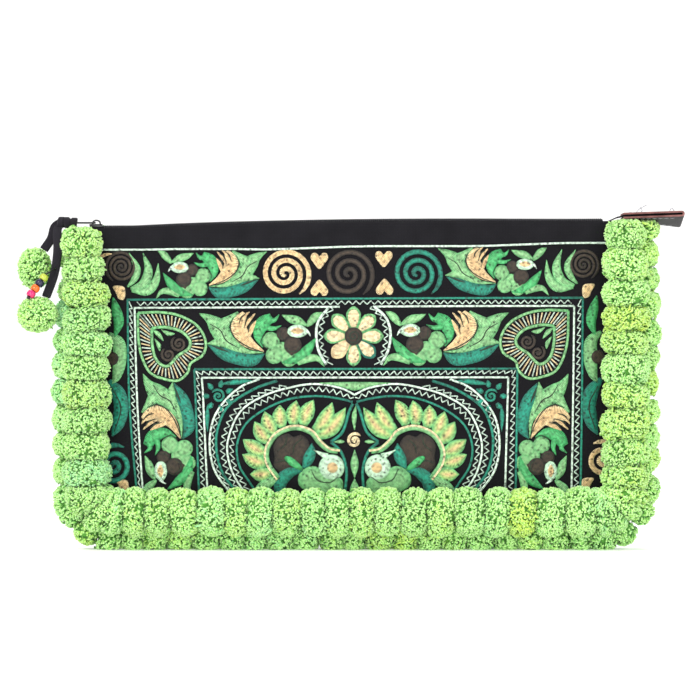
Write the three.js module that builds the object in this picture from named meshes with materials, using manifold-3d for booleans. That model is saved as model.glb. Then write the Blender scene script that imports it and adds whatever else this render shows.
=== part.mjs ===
// A flat zip clutch of black cotton with a stitched front and a yarn pompom trim on three edges.
//
// The bag is a hollow pouch: a front and a back panel are sewn together along a U-shaped seam, a plain
// cotton band runs above each panel, and a coil zip closes the mouth between the two bands. Two rows of
// squeezed pompoms follow the seam: the front row lies on the front panel's edge, and the edge row
// straddles the seam and carries the bag. The zip runs on past the right corner into a folded leather
// tab. At the left corner a cotton strap is knotted through the zip pull, and hangs down beside the trim
// with two pompoms and a short string of painted wooden beads.
//
// Millimetres, +Z up, the front faces -Y. The origin is on the surface that the bag stands on, below the
// middle of the bag.
import * as THREE from "three";
import { mergeVertices } from "three/addons/utils/BufferGeometryUtils.js";
import Module from "manifold-3d";

const wasm = await Module();
wasm.setup();

// The pouch
const bodyWidth = 320;
const bodyHeight = 176;
const bodyDepth = 44;
const mouthDepth = 20;
const bandHeight = 15.5;
const cornerRadius = 20;
const clothWall = 1.6;

// The two rows of pompoms. Both hang lower along the bottom of the bag than they stand out at its sides.
const frontPitch = 15.6;
const frontRadius = 14.6;
const frontDepth = 15.5;
const frontInset = { side: 1.5, bottom: 4.5 };
const edgePitch = 14.8;
const edgeRadius = 17.8;
const edgeDepth = 3;
const edgeOutset = { side: 2.5, bottom: 5.5 };
const floorSquash = 5.2;
const edgeTuck = 5;
const tuckLength = 60;

// The zip
const tapeThickness = 0.7;
const tapeRecess = 0.6;
const coilWidth = 5.4;
const coilHeight = 2;
const zipClimb = 12;
const sliderLength = 7.6;
const sliderWidth = 7.4;
const plateThickness = 0.9;
const bridgeHeight = 2.8;
const bridgeWire = 1;
const pullLength = 17;
const pullWidth = 4.6;
const pullThickness = 1;

// The leather tab on the zip's end
const tabLength = 36;
const tabWidth = 26;
const leatherThickness = 1.1;
const tabRise = 4;
const tabRollDeg = 13;
const tabDrop = 1.6;

// The charm
const knotLength = 11.5;
const knotHeight = 6;
const knotDepth = 9;
const knotGrip = 5.6;
const strapWidth = 5.2;
const strapThickness = 1.5;
const upperCharmRadius = 11;
const upperCharmHeight = 25;
const lowerCharmRadius = 12.6;
const lowerCharmHeight = 21.5;
const upperStrapDrop = 13;
const upperStrapSwing = 9;
const upperCharmDepth = 2;
const lowerStrapDrop = 41.2;
const lowerStrapDepth = 9;
const lowerCharmDepth = 17;
const strapSpread = 1;
const beadRadius = 2.6;
const beadLength = 3.9;
const beadHole = 0.9;
const threadRadius = 0.5;
const threadKnotRadius = 1.1;
const threadKnotLength = 1.2;
const threadLead = 0.8;

// Pieces that touch keep this gap.
const clearance = 0.3;

const halfWidth = bodyWidth / 2;
const mouthHalf = mouthDepth / 2;
const edgeCentreHeight = edgeRadius - floorSquash;
const seamHeight = edgeCentreHeight + edgeOutset.bottom;
const bodyTop = seamHeight + bodyHeight;
const radians = Math.PI / 180;

// How far the top edge and the band's lower edge sag, as shares of the body's height.
// across runs from -1 at the left seam to 1 at the right one.
const sagTable = [
  { across: -1, top: 0.024, line: 0.012 },
  { across: -0.8, top: 0.023, line: 0.009 },
  { across: -0.6, top: 0.014, line: 0.004 },
  { across: -0.3, top: 0.007, line: 0.006 },
  { across: 0, top: 0.002, line: 0.001 },
  { across: 0.4, top: 0, line: -0.004 },
  { across: 0.75, top: 0.001, line: -0.01 },
  { across: 1, top: 0, line: -0.013 },
];

// The stuffed pouch's side profile: depth is a share of half the body's depth, at a share of its height.
const profileTable = [
  { up: 0, depth: 0 },
  { up: 0.06, depth: 0.3 },
  { up: 0.15, depth: 0.6 },
  { up: 0.3, depth: 0.88 },
  { up: 0.45, depth: 1 },
  { up: 0.6, depth: 0.98 },
  { up: 0.75, depth: 0.86 },
  { up: 0.9, depth: 0.6 },
];

// Smooth curve through a table's rows, without overshoot at its ends.
function fromTable(rows, key, value, at) {
  const last = rows.length - 1;
  const x = THREE.MathUtils.clamp(at, rows[0][key], rows[last][key]);
  let i = 0;
  while (i < last - 1 && x > rows[i + 1][key]) i += 1;
  const slope = (k) => {
    const a = rows[Math.max(k - 1, 0)];
    const b = rows[Math.min(k + 1, last)];
    return (b[value] - a[value]) / (b[key] - a[key]);
  };
  const span = rows[i + 1][key] - rows[i][key];
  const t = (x - rows[i][key]) / span;
  return (
    (1 + 2 * t) * (1 - t) ** 2 * rows[i][value] +
    t * (1 - t) ** 2 * slope(i) * span +
    t * t * (3 - 2 * t) * rows[i + 1][value] +
    t * t * (t - 1) * slope(i + 1) * span
  );
}

// The pouch's outline and thickness

function topHeight(x) {
  return bodyTop - bodyHeight * fromTable(sagTable, "across", "top", x / halfWidth);
}

function bandLineHeight(x) {
  const sag = bodyHeight * fromTable(sagTable, "across", "line", x / halfWidth);
  return bodyTop - bandHeight - sag;
}

// Half the pouch's width at a height: the lower corners are rounded.
function halfWidthAt(z) {
  const below = seamHeight + cornerRadius - z;
  if (below <= 0) return halfWidth;
  return halfWidth - cornerRadius + Math.sqrt(Math.max(cornerRadius ** 2 - below ** 2, 0));
}

// Half the pouch's depth, over the cloth: a crowned profile that closes to the seam at the sides and
// opens to the mouth's depth at the top.
function halfDepthAt(x, z) {
  const seamHalf = clothWall + clearance / 2;
  const up = THREE.MathUtils.clamp((z - seamHeight) / (topHeight(x) - seamHeight), 0, 1);
  const lastRow = profileTable[profileTable.length - 1];
  const swell = (bodyDepth / 2 - seamHalf) * fromTable(profileTable, "up", "depth", up) + seamHalf;
  const toMouth = THREE.MathUtils.smoothstep(up, lastRow.up, 1);
  const profile = swell + (mouthHalf - swell) * toMouth;
  const side = seamHalf + (mouthHalf - seamHalf) * THREE.MathUtils.smoothstep(up, 0.78, 1);
  const across = Math.min(Math.abs(x) / halfWidthAt(z), 1);
  return side + (profile - side) * (1 - across ** 3.2);
}

// Meshes from rings and grids

// Turns every face round where the closed mesh's volume comes out negative.
function turnedOut(geometry) {
  const p = geometry.getAttribute("position");
  const index = geometry.getIndex().array;
  const [a, b, c] = [new THREE.Vector3(), new THREE.Vector3(), new THREE.Vector3()];
  let volume = 0;
  for (let i = 0; i < index.length; i += 3) {
    a.fromBufferAttribute(p, index[i]);
    b.fromBufferAttribute(p, index[i + 1]);
    c.fromBufferAttribute(p, index[i + 2]);
    volume += a.dot(b.cross(c));
  }
  if (volume < 0) {
    const turned = [];
    for (let i = 0; i < index.length; i += 3) turned.push(index[i], index[i + 2], index[i + 1]);
    geometry.setIndex(turned);
  }
  return geometry;
}

function geometryOf(points, triangles) {
  const geometry = new THREE.BufferGeometry();
  geometry.setAttribute("position", new THREE.Float32BufferAttribute(points.flat(), 3));
  geometry.setIndex(triangles.flat());
  return turnedOut(geometry);
}

// A closed wall between two grids of points with as many rows and columns.
function wall(outer, inner) {
  const rows = outer.length;
  const columns = outer[0].length;
  const points = [...outer.flat(), ...inner.flat()];
  const out = (r, c) => r * columns + c;
  const into = (r, c) => rows * columns + r * columns + c;
  const triangles = [];
  const quad = (a, b, c, d) => triangles.push([a, b, c], [a, c, d]);
  for (let r = 0; r < rows - 1; r += 1) {
    for (let c = 0; c < columns - 1; c += 1) {
      quad(out(r, c), out(r, c + 1), out(r + 1, c + 1), out(r + 1, c));
      quad(into(r, c), into(r + 1, c), into(r + 1, c + 1), into(r, c + 1));
    }
    quad(out(r, 0), out(r + 1, 0), into(r + 1, 0), into(r, 0));
    quad(out(r, columns - 1), into(r, columns - 1), into(r + 1, columns - 1), out(r + 1, columns - 1));
  }
  for (let c = 0; c < columns - 1; c += 1) {
    quad(out(0, c), into(0, c), into(0, c + 1), out(0, c + 1));
    quad(out(rows - 1, c), out(rows - 1, c + 1), into(rows - 1, c + 1), into(rows - 1, c));
  }
  return geometryOf(points, triangles);
}

// A closed body through rings of points, with a flat fan at each end.
function loft(rings) {
  const sides = rings[0].length;
  const triangles = [];
  for (let r = 0; r < rings.length - 1; r += 1) {
    for (let k = 0; k < sides; k += 1) {
      const next = (k + 1) % sides;
      const [a, b] = [r * sides + k, r * sides + next];
      triangles.push([a, b, b + sides], [a, b + sides, a + sides]);
    }
  }
  const end = (rings.length - 1) * sides;
  for (let k = 1; k < sides - 1; k += 1) {
    triangles.push([0, k + 1, k], [end, end + k, end + k + 1]);
  }
  return geometryOf(rings.flat(), triangles);
}

// A box with its corners at two points.
function block(low, high) {
  const size = high.map((v, k) => v - low[k]);
  const middle = high.map((v, k) => (v + low[k]) / 2);
  return new THREE.BoxGeometry(...size).translate(...middle);
}

// Solids that can be joined and cut

function solidOf(geometry) {
  const bare = geometry.clone();
  bare.deleteAttribute("normal");
  bare.deleteAttribute("uv");
  const merged = mergeVertices(bare, 1e-4);
  return new wasm.Manifold(
    new wasm.Mesh({
      numProp: 3,
      vertProperties: new Float32Array(merged.getAttribute("position").array),
      triVerts: new Uint32Array(merged.getIndex().array),
    }),
  );
}

function geometryFrom(solid) {
  const made = solid.getMesh();
  const geometry = new THREE.BufferGeometry();
  geometry.setAttribute("position", new THREE.Float32BufferAttribute(made.vertProperties, 3));
  geometry.setIndex(Array.from(made.triVerts));
  return geometry;
}

const bag = new THREE.Group();

function addPiece(name, geometry, material) {
  geometry.computeVertexNormals();
  const mesh = new THREE.Mesh(geometry, material);
  mesh.name = name;
  bag.add(mesh);
}

// Materials

const blackCotton = new THREE.MeshStandardMaterial({ color: "#1f1d24", roughness: 0.95 });
const stitchedCotton = new THREE.MeshStandardMaterial({ color: "#2f6f57", roughness: 0.8 });
const greenYarn = new THREE.MeshStandardMaterial({ color: "#a5dc74", roughness: 0.95 });
const blackMetal = new THREE.MeshStandardMaterial({ color: "#17161a", roughness: 0.4, metalness: 0.7 });
const brownLeather = new THREE.MeshStandardMaterial({ color: "#6a4540", roughness: 0.6 });
const waxedThread = new THREE.MeshStandardMaterial({ color: "#201e22", roughness: 0.8 });

// Panels and bands
// Each row of the cloth is a height that may sag across the bag. The panel's rows are close together
// round the lower corners, and its top row follows the band's line.

const clothColumns = 20;
const cornerSteps = 3;
const panelSteps = 6;
const bandSteps = 2;

function panelRows() {
  const rows = [];
  for (let step = 0; step < cornerSteps; step += 1) {
    const rise = cornerRadius * (1 - Math.cos(((step / cornerSteps) * Math.PI) / 2));
    rows.push(() => seamHeight + rise);
  }
  const from = seamHeight + cornerRadius;
  for (let step = 0; step <= panelSteps; step += 1) {
    rows.push((x) => from + ((bandLineHeight(x) - from) * step) / panelSteps);
  }
  return rows;
}

function bandRows() {
  return Array.from({ length: bandSteps + 1 }, (_, step) => (x) => {
    const from = bandLineHeight(x) + clearance;
    return from + ((topHeight(x) - from) * step) / bandSteps;
  });
}

// The cloth's points on one side, row by row, moved inwards by a wall or outwards by a gap.
function clothGrid(rows, side, inward, widen = 0) {
  return rows.map((heightAt) =>
    Array.from({ length: clothColumns + 1 }, (_, c) => {
      const across = (2 * c) / clothColumns - 1;
      const z = heightAt(across * halfWidth);
      const x = across * (halfWidthAt(z) + widen);
      return [x, side * (halfDepthAt(x, z) - inward), z];
    }),
  );
}

function clothPiece(rows, side) {
  return wall(clothGrid(rows, side, 0), clothGrid(rows, side, clothWall));
}

addPiece("front_panel", clothPiece(panelRows(), -1), stitchedCotton);
addPiece("back_panel", clothPiece(panelRows(), 1), blackCotton);
addPiece("front_band", clothPiece(bandRows(), -1), blackCotton);
addPiece("back_band", clothPiece(bandRows(), 1), blackCotton);

// The closed pouch grown by the clearance, which cuts the trim back where it meets the cloth.
function pouchEnvelope() {
  const face = (side) => {
    const grid = clothGrid([...panelRows(), ...bandRows()], side, -2 * clearance, clearance);
    const below = grid[0].map(([x, y, z]) => [x, y, z - 2 * clearance]);
    const above = grid[grid.length - 1].map(([x, y, z]) => [x, y, z + mouthHalf]);
    return [below, ...grid, above];
  };
  return solidOf(wall(face(-1), face(1)));
}

// The U-shaped seam that the trim follows
// s is the length along the seam from the left corner at the top. out points away from the pouch.

const leftRun = topHeight(-halfWidth) - seamHeight - cornerRadius;
const rightRun = topHeight(halfWidth) - seamHeight - cornerRadius;
const cornerRun = (cornerRadius * Math.PI) / 2;
const bottomRun = bodyWidth - 2 * cornerRadius;
const seamLength = leftRun + rightRun + bottomRun + 2 * cornerRun;

function seamAt(s) {
  const cornerX = halfWidth - cornerRadius;
  const cornerZ = seamHeight + cornerRadius;
  const onCorner = (side, turn) => ({
    x: side * (cornerX + cornerRadius * Math.cos(turn)),
    z: cornerZ - cornerRadius * Math.sin(turn),
    outX: side * Math.cos(turn),
    outZ: -Math.sin(turn),
  });
  if (s < leftRun) return { ...onCorner(-1, 0), z: cornerZ + leftRun - s };
  if (s < leftRun + cornerRun) return onCorner(-1, (s - leftRun) / cornerRadius);
  const along = s - leftRun - cornerRun;
  if (along < bottomRun) return { x: along - cornerX, z: seamHeight, outX: 0, outZ: -1 };
  const past = along - bottomRun;
  if (past < cornerRun) return onCorner(1, (cornerRun - past) / cornerRadius);
  return { ...onCorner(1, 0), z: cornerZ + past - cornerRun };
}

// How far a row's middle lies from the seam there.
function hung(row, s) {
  return row.side + (row.bottom - row.side) * seamAt(s).outZ ** 2;
}

// The edge row is pressed inwards at the left corner, where the charm's strap hangs over it.
function edgeOffset(s) {
  const tuck = edgeTuck * (1 - THREE.MathUtils.smoothstep(s, tuckLength / 2, tuckLength));
  return hung(edgeOutset, s) - tuck;
}

// The two rows press each other flat: the flat lies where their round sections cross.
function flatBetween(s) {
  const towardsFront = [-hung(frontInset, s) - edgeOffset(s), -frontDepth - edgeDepth];
  const apart = Math.hypot(...towardsFront);
  const reach = (apart ** 2 + edgeRadius ** 2 - frontRadius ** 2) / (2 * apart);
  return { normal: towardsFront.map((v) => v / apart), reach, apart };
}

// One ring of a pompom's outline across the seam at s, for a share of its full radius.
const ringSides = 10;
const lockDepth = 0.045;

function pompomRing(row, s, share, ringIndex) {
  const seam = seamAt(s);
  const flat = flatBetween(s);
  const isFront = row === "front";
  const radius = isFront ? frontRadius : edgeRadius;
  const centre = isFront ? [-hung(frontInset, s), -frontDepth] : [edgeOffset(s), edgeDepth];
  const limit = (isFront ? flat.apart - flat.reach : flat.reach) - 1.5 * clearance;
  const towards = isFront ? flat.normal.map((v) => -v) : flat.normal;
  return Array.from({ length: ringSides }, (_, k) => {
    const angle = (k / ringSides) * 2 * Math.PI;
    const lock = 1 + lockDepth * ((k + ringIndex) % 2 ? 1 : -1);
    let n = radius * share * lock * Math.cos(angle);
    let y = radius * share * lock * Math.sin(angle);
    const past = Math.max(n * towards[0] + y * towards[1] - limit, 0);
    n += centre[0] - past * towards[0];
    y += centre[1] - past * towards[1];
    return [seam.x + seam.outX * n, y, Math.max(seam.z + seam.outZ * n, 0)];
  });
}

// A garland is a run of pompoms tied on one cord and squeezed against each other, with a crease between
// neighbours. It is cut back where it lies against the pouch.
const creaseShare = 0.8;
const endShare = 0.45;
const shoulder = 0.27;

function garland(name, row, from, to, envelope) {
  const count = Math.max(Math.round((to - from) / (row === "front" ? frontPitch : edgePitch)), 2);
  const pitch = (to - from) / count;
  const rings = [];
  const addRing = (s, share) => rings.push(pompomRing(row, s, share, rings.length));
  for (let i = 0; i < count; i += 1) {
    const start = from + i * pitch;
    addRing(start, i === 0 && name.endsWith("left") ? endShare : creaseShare);
    addRing(start + pitch * shoulder, 1);
    addRing(start + pitch * (1 - shoulder), 1);
  }
  addRing(to, name.endsWith("right") ? endShare : creaseShare);
  addPiece(name, geometryFrom(solidOf(loft(rings)).subtract(envelope)), greenYarn);
}

const envelope = pouchEnvelope();
const leftSplit = leftRun + cornerRun / 2;
const rightSplit = seamLength - rightRun - cornerRun / 2;
const rowStarts = { front: -clearance, edge: 2 };

for (const [row, start] of Object.entries(rowStarts)) {
  const gap = 0.75 * clearance;
  garland(row + "_garland_left", row, start, leftSplit - gap, envelope);
  garland(row + "_garland_bottom", row, leftSplit + gap, rightSplit - gap, envelope);
  garland(row + "_garland_right", row, rightSplit + gap, seamLength - start, envelope);
}

// The zip
// Its pieces are modelled flat, along X with heights over the middle of the tape, and then laid along
// the mouth. Past the right corner the tape climbs into the tab, which twists towards its folded end.

const zipStart = -halfWidth + 1;
const tabStart = halfWidth - 2.4;
const climbStart = tabStart - zipClimb;

function zipHeight(x) {
  const onBody = topHeight(Math.min(x, climbStart)) - tapeRecess - tapeThickness / 2;
  const climb = tabRise * THREE.MathUtils.smoothstep(x, climbStart, tabStart);
  const drop = (tabDrop * Math.max(x - tabStart, 0)) / tabLength;
  return onBody + climb - drop;
}

function laidOnZip(geometry) {
  const p = geometry.getAttribute("position");
  for (let i = 0; i < p.count; i += 1) {
    const [x, y, h] = [p.getX(i), p.getY(i), p.getZ(i)];
    const roll = tabRollDeg * radians * THREE.MathUtils.clamp((x - tabStart) / tabLength, 0, 1);
    p.setXYZ(
      i,
      x,
      y * Math.cos(roll) + h * Math.sin(roll),
      zipHeight(x) - y * Math.sin(roll) + h * Math.cos(roll),
    );
  }
  return geometry;
}

const tapeHalf = mouthHalf - clothWall - 1.5 * clearance;
const tapeEnd = tabStart + tabLength - 2 * leatherThickness - 2;
const postHalf = 0.9;
const postLength = 1.6;
const sliderStart = zipStart + 1.4;
const coilSteps = 12;
const climbSteps = 4;
const tabSteps = 4;

// One tape with its half of the nylon coil. Its inner edge is notched round the slider's post.
function zipTape(side) {
  const ring = (x, inner, coilTop) => {
    const [low, high] = [-tapeThickness / 2, tapeThickness / 2];
    const coilEdge = Math.max(coilWidth / 2, inner + clearance);
    return [
      [x, side * inner, low],
      [x, side * tapeHalf, low],
      [x, side * tapeHalf, high],
      [x, side * coilEdge, high],
      [x, side * (coilEdge - clearance), high + coilTop],
      [x, side * inner, high + coilTop],
    ];
  };
  const flat = 0.1;
  const closed = clearance / 2;
  const notched = postHalf + clearance;
  const notchEnd = sliderStart + postLength + clearance;
  const rings = [ring(zipStart, notched, flat), ring(notchEnd, notched, flat)];
  rings.push(ring(notchEnd + clearance, closed, coilHeight));
  for (let i = 1; i <= coilSteps; i += 1) {
    const x = notchEnd + ((climbStart - notchEnd) * i) / coilSteps;
    rings.push(ring(x, closed, coilHeight));
  }
  rings.push(ring(climbStart + clearance, closed, flat));
  for (let i = 1; i <= climbSteps; i += 1) {
    rings.push(ring(climbStart + ((tabStart - climbStart) * i) / climbSteps, closed, flat));
  }
  for (let i = 1; i <= tabSteps; i += 1) {
    rings.push(ring(tabStart + ((tapeEnd - tabStart) * i) / tabSteps, closed, flat));
  }
  return laidOnZip(loft(rings));
}

addPiece("zip_tape_front", zipTape(-1), blackCotton);
addPiece("zip_tape_back", zipTape(1), blackCotton);

// The slider: a plate over the coil and one under the tape, joined by the post at the closed end, with a
// wire bridge on top that holds the pull.
const plateLow = tapeThickness / 2 + coilHeight + clearance;
const plateHigh = plateLow + plateThickness;
const underPlate = -tapeThickness / 2 - clearance;
const sliderEnd = sliderStart + sliderLength;
const bridgeStart = sliderStart + 1.2;
const bridgeEnd = sliderEnd - 0.8;
const bite = 0.2;

function sliderSolid() {
  const half = sliderWidth / 2;
  const wireHalf = bridgeWire / 2;
  const bridgeTop = plateHigh + bridgeHeight;
  return [
    block([sliderStart, -half, plateLow], [sliderEnd, half, plateHigh]),
    block([sliderStart, -half, underPlate - plateThickness], [sliderEnd, half, underPlate]),
    block(
      [sliderStart, -postHalf, underPlate - bite],
      [sliderStart + postLength, postHalf, plateLow + bite],
    ),
    block([bridgeStart, -wireHalf, plateHigh - bite], [bridgeStart + bridgeWire, wireHalf, bridgeTop]),
    block([bridgeEnd - bridgeWire, -wireHalf, plateHigh - bite], [bridgeEnd, wireHalf, bridgeTop]),
    block([bridgeStart, -wireHalf, bridgeTop - bridgeWire], [bridgeEnd, wireHalf, bridgeTop]),
  ]
    .map(solidOf)
    .reduce((whole, next) => whole.add(next));
}

// The hard pieces don't bend with the zip: they sit level at the height of the zip below the slider.
const sliderHeight = zipHeight(sliderStart + sliderLength / 2);
addPiece("zip_slider", geometryFrom(sliderSolid()).translate(0, 0, sliderHeight), blackMetal);

// The pull: a flat bar with an eye round the bridge's leg and a slot for the strap.
const eyeWall = 0.9;
const eyeSlack = clearance + 0.2;
const eyeHalf = bridgeWire / 2 + eyeSlack;
const pullRight = bridgeStart + bridgeWire + eyeSlack + eyeWall;
const pullLeft = pullRight - pullLength;
const slotLeft = pullLeft + eyeWall + 0.4;
const slotLength = 3;
const pullLow = plateHigh + clearance;
const pullHeight = sliderHeight + pullLow + pullThickness / 2;

function pullSolid() {
  const outline = new THREE.Shape();
  const half = pullWidth / 2;
  outline.absarc(pullRight - half, 0, half, -Math.PI / 2, Math.PI / 2, false);
  outline.absarc(pullLeft + half, 0, half, Math.PI / 2, (3 * Math.PI) / 2, false);
  outline.closePath();
  const bar = new THREE.ExtrudeGeometry(outline, {
    depth: pullThickness,
    bevelEnabled: false,
    curveSegments: 6,
  });
  const cut = (x0, x1) => solidOf(block([x0, -eyeHalf, -1], [x1, eyeHalf, pullThickness + 1]));
  return solidOf(bar)
    .subtract(cut(bridgeStart - eyeSlack, pullRight - eyeWall))
    .subtract(cut(slotLeft, slotLeft + slotLength))
    .translate(0, 0, sliderHeight + pullLow);
}

addPiece("zip_pull", geometryFrom(pullSolid()), blackMetal);

// The leather tab: one strip folded over the tape's end. It has steps each way, so that it can twist.
function tabGeometry() {
  const slotHalf = tapeThickness / 2 + clearance;
  const outerHalf = slotHalf + leatherThickness;
  const foldStart = tabStart + tabLength - outerHalf;
  const outline = new THREE.Shape();
  const stepTo = (i, height) => {
    outline.lineTo(tabStart + ((foldStart - tabStart) * i) / tabSteps, height);
  };
  outline.moveTo(tabStart, -outerHalf);
  for (let i = 1; i < tabSteps; i += 1) stepTo(i, -outerHalf);
  outline.absarc(foldStart, 0, outerHalf, -Math.PI / 2, Math.PI / 2, false);
  for (let i = tabSteps - 1; i >= 0; i -= 1) stepTo(i, outerHalf);
  for (let i = 0; i < tabSteps; i += 1) stepTo(i, slotHalf);
  outline.absarc(foldStart, 0, slotHalf, Math.PI / 2, -Math.PI / 2, true);
  for (let i = tabSteps - 1; i >= 0; i -= 1) stepTo(i, -slotHalf);
  outline.closePath();
  const strip = new THREE.ExtrudeGeometry(outline, {
    depth: tabWidth,
    steps: tabSteps,
    bevelEnabled: false,
    curveSegments: 5,
  });
  strip.translate(0, 0, -tabWidth / 2).rotateX(Math.PI / 2);
  return laidOnZip(strip);
}

addPiece("zip_end_tab", geometryFrom(solidOf(tabGeometry())), brownLeather);

// The charm
// How far from the middle of the bag a round thing hangs beside the trim, at a depth, resting on it.
function besideTrim(y, radius, edgeAt) {
  const reach = (out, rowDepth, rowRadius) => {
    const span = rowRadius * (1 + lockDepth) + radius + 2 * clearance;
    return halfWidth + out + Math.sqrt(Math.max(span ** 2 - (y - rowDepth) ** 2, 0));
  };
  return Math.max(
    reach(-frontInset.side, -frontDepth, frontRadius),
    reach(edgeAt, edgeDepth, edgeRadius),
  );
}

function smoothThrough(points) {
  return new THREE.CatmullRomCurve3(points.map((p) => new THREE.Vector3(...p)));
}

// A flat strap swept along a curve. Its width is across the view and its thickness in depth.
function strapSolid(curve) {
  const steps = 10;
  const rings = [];
  for (let i = 0; i <= steps; i += 1) {
    const at = curve.getPointAt(i / steps);
    const along = curve.getTangentAt(i / steps);
    const across = new THREE.Vector3(-along.z, 0, along.x).normalize();
    const through = new THREE.Vector3().crossVectors(along, across).normalize();
    const corner = (a, b) =>
      at
        .clone()
        .addScaledVector(across, (a * strapWidth) / 2)
        .addScaledVector(through, (b * strapThickness) / 2)
        .toArray();
    rings.push([corner(-1, -1), corner(1, -1), corner(1, 1), corner(-1, 1)]);
  }
  return solidOf(loft(rings));
}

const strapX = -besideTrim(-lowerStrapDepth, strapWidth / 2, edgeOffset(0));
const knotRight = pullLeft + knotGrip;
const knotLeft = Math.min(knotRight - knotLength, strapX + strapWidth / 2);
const knotSpan = knotRight - knotLeft;
const knotBottom = pullHeight - knotHeight / 2;

// Both tails leave the knot near its left end, one behind the other. Their few points are shares of the
// way from the knot to each tail's end.
const tailStart = knotLeft + knotSpan * 0.2;
const tailTurn = (knotLeft + strapX) / 2;
const upperStrapEnd = [strapX - upperStrapSwing, 0, knotBottom - upperStrapDrop];
const upperTail = smoothThrough([
  [tailStart, strapSpread, pullHeight],
  [tailTurn - upperStrapSwing * 0.22, strapSpread, knotBottom + knotHeight * 0.17],
  [strapX - upperStrapSwing * 0.49, strapSpread * 0.6, knotBottom - upperStrapDrop * 0.45],
  upperStrapEnd,
]);
const lowerCharmX = -besideTrim(-lowerCharmDepth, lowerCharmRadius, edgeOutset.side);
const lowerStrapEnd = [
  strapX + (lowerCharmX - strapX) * 0.55,
  -lowerCharmDepth,
  knotBottom - lowerStrapDrop,
];
const lowerSwing = lowerCharmX - strapX;
const lowerTail = smoothThrough([
  [tailStart + strapSpread * 0.5, -strapSpread, pullHeight],
  [tailTurn, -lowerStrapDepth * 0.39, knotBottom + knotHeight * 0.1],
  [strapX, -lowerStrapDepth, knotBottom - lowerStrapDrop * 0.3],
  [strapX + lowerSwing * 0.14, -lowerStrapDepth * 1.33, knotBottom - lowerStrapDrop * 0.65],
  lowerStrapEnd,
]);

// The knot is a cow hitch round the pull's end, drawn tight into one lump.
const knotTable = [
  { along: 0, thick: 0.55 },
  { along: 0.15, thick: 0.9 },
  { along: 0.45, thick: 1 },
  { along: 0.8, thick: 0.9 },
  { along: 1, thick: 0.5 },
];

function strapAndKnot() {
  const sides = 10;
  const lump = knotTable.map(({ along, thick }) =>
    Array.from({ length: sides }, (_, k) => {
      const angle = ((k + 0.5) / sides) * 2 * Math.PI;
      const y = (knotDepth / 2) * thick * Math.cos(angle);
      const z = pullHeight + (knotHeight / 2) * thick * Math.sin(angle);
      return [knotLeft + knotSpan * along, y, z];
    }),
  );
  const cut = clearance + 0.05;
  const room = block(
    [pullLeft - cut, -pullWidth / 2 - cut, pullHeight - pullThickness / 2 - cut],
    [knotRight + 1, pullWidth / 2 + cut, pullHeight + pullThickness / 2 + cut],
  );
  return solidOf(loft(lump))
    .add(strapSolid(upperTail))
    .add(strapSolid(lowerTail))
    .subtract(solidOf(room));
}

addPiece("charm_strap", geometryFrom(strapAndKnot()), blackCotton);

// A round charm pompom: locks of yarn stand out of a ball in alternate rows.
function charmPompom(centre, radius, height) {
  const [rings, sides] = [7, 12];
  const made = [];
  for (let r = 0; r < rings; r += 1) {
    const tilt = ((r + 0.45) / (rings - 0.1)) * Math.PI;
    made.push(
      Array.from({ length: sides }, (_, k) => {
        const angle = (k / sides) * 2 * Math.PI;
        const lock = 1 - 2 * lockDepth * ((k + r) % 2);
        const out = radius * Math.sin(tilt) * lock;
        const up = (height / 2) * Math.cos(tilt) * lock;
        return [centre[0] + out * Math.cos(angle), centre[1] + out * Math.sin(angle), centre[2] + up];
      }),
    );
  }
  return loft(made);
}

// A charm pompom hangs right under its strap's end, which lies a little to one side of its middle.
function hungBelow(strapEnd, x, y, radius, height) {
  const aside = Math.min(Math.hypot(strapEnd[0] - x, strapEnd[1] - y) / radius, 1);
  return [x, y, strapEnd[2] - clearance - (height / 2) * Math.sqrt(1 - aside ** 2)];
}

const upperCharmX = upperStrapEnd[0] - upperCharmRadius * 0.5;
const upperCharm = hungBelow(
  upperStrapEnd,
  upperCharmX,
  upperCharmDepth,
  upperCharmRadius,
  upperCharmHeight,
);
const lowerCharm = hungBelow(
  lowerStrapEnd,
  lowerCharmX,
  -lowerCharmDepth,
  lowerCharmRadius,
  lowerCharmHeight,
);
addPiece("charm_pompom_upper", charmPompom(upperCharm, upperCharmRadius, upperCharmHeight), greenYarn);
addPiece("charm_pompom_lower", charmPompom(lowerCharm, lowerCharmRadius, lowerCharmHeight), greenYarn);

// The beads are painted wood, drilled, on a thread that leaves the lower strap's face.
const beadColours = [
  { name: "bead_lime", colour: "#c4c64a" },
  { name: "bead_navy", colour: "#221d3c" },
  { name: "bead_orange", colour: "#e8641f" },
  { name: "bead_pink", colour: "#cf2a63" },
];
const beadStart = new THREE.Vector3(
  lowerStrapEnd[0] - 1.2,
  lowerStrapEnd[1] - beadRadius,
  lowerStrapEnd[2] + 2.9 * beadLength,
);
const beadFall = new THREE.Vector3(-0.56, -0.32, -0.77).normalize();
const beadPitch = beadLength + clearance;

function beadGeometry(centre) {
  const half = beadLength / 2;
  const rim = beadRadius * 0.72;
  const profile = [
    new THREE.Vector2(beadHole, -half),
    new THREE.Vector2(rim, -half),
    new THREE.Vector2(beadRadius, -half * 0.4),
    new THREE.Vector2(beadRadius, half * 0.4),
    new THREE.Vector2(rim, half),
    new THREE.Vector2(beadHole, half),
    new THREE.Vector2(beadHole, -half),
  ];
  const turn = new THREE.Quaternion().setFromUnitVectors(new THREE.Vector3(0, 1, 0), beadFall);
  const bead = new THREE.LatheGeometry(profile, 10);
  bead.deleteAttribute("normal");
  bead.deleteAttribute("uv");
  const merged = turnedOut(mergeVertices(bead, 1e-4));
  return merged.applyQuaternion(turn).translate(centre.x, centre.y, centre.z);
}

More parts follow.
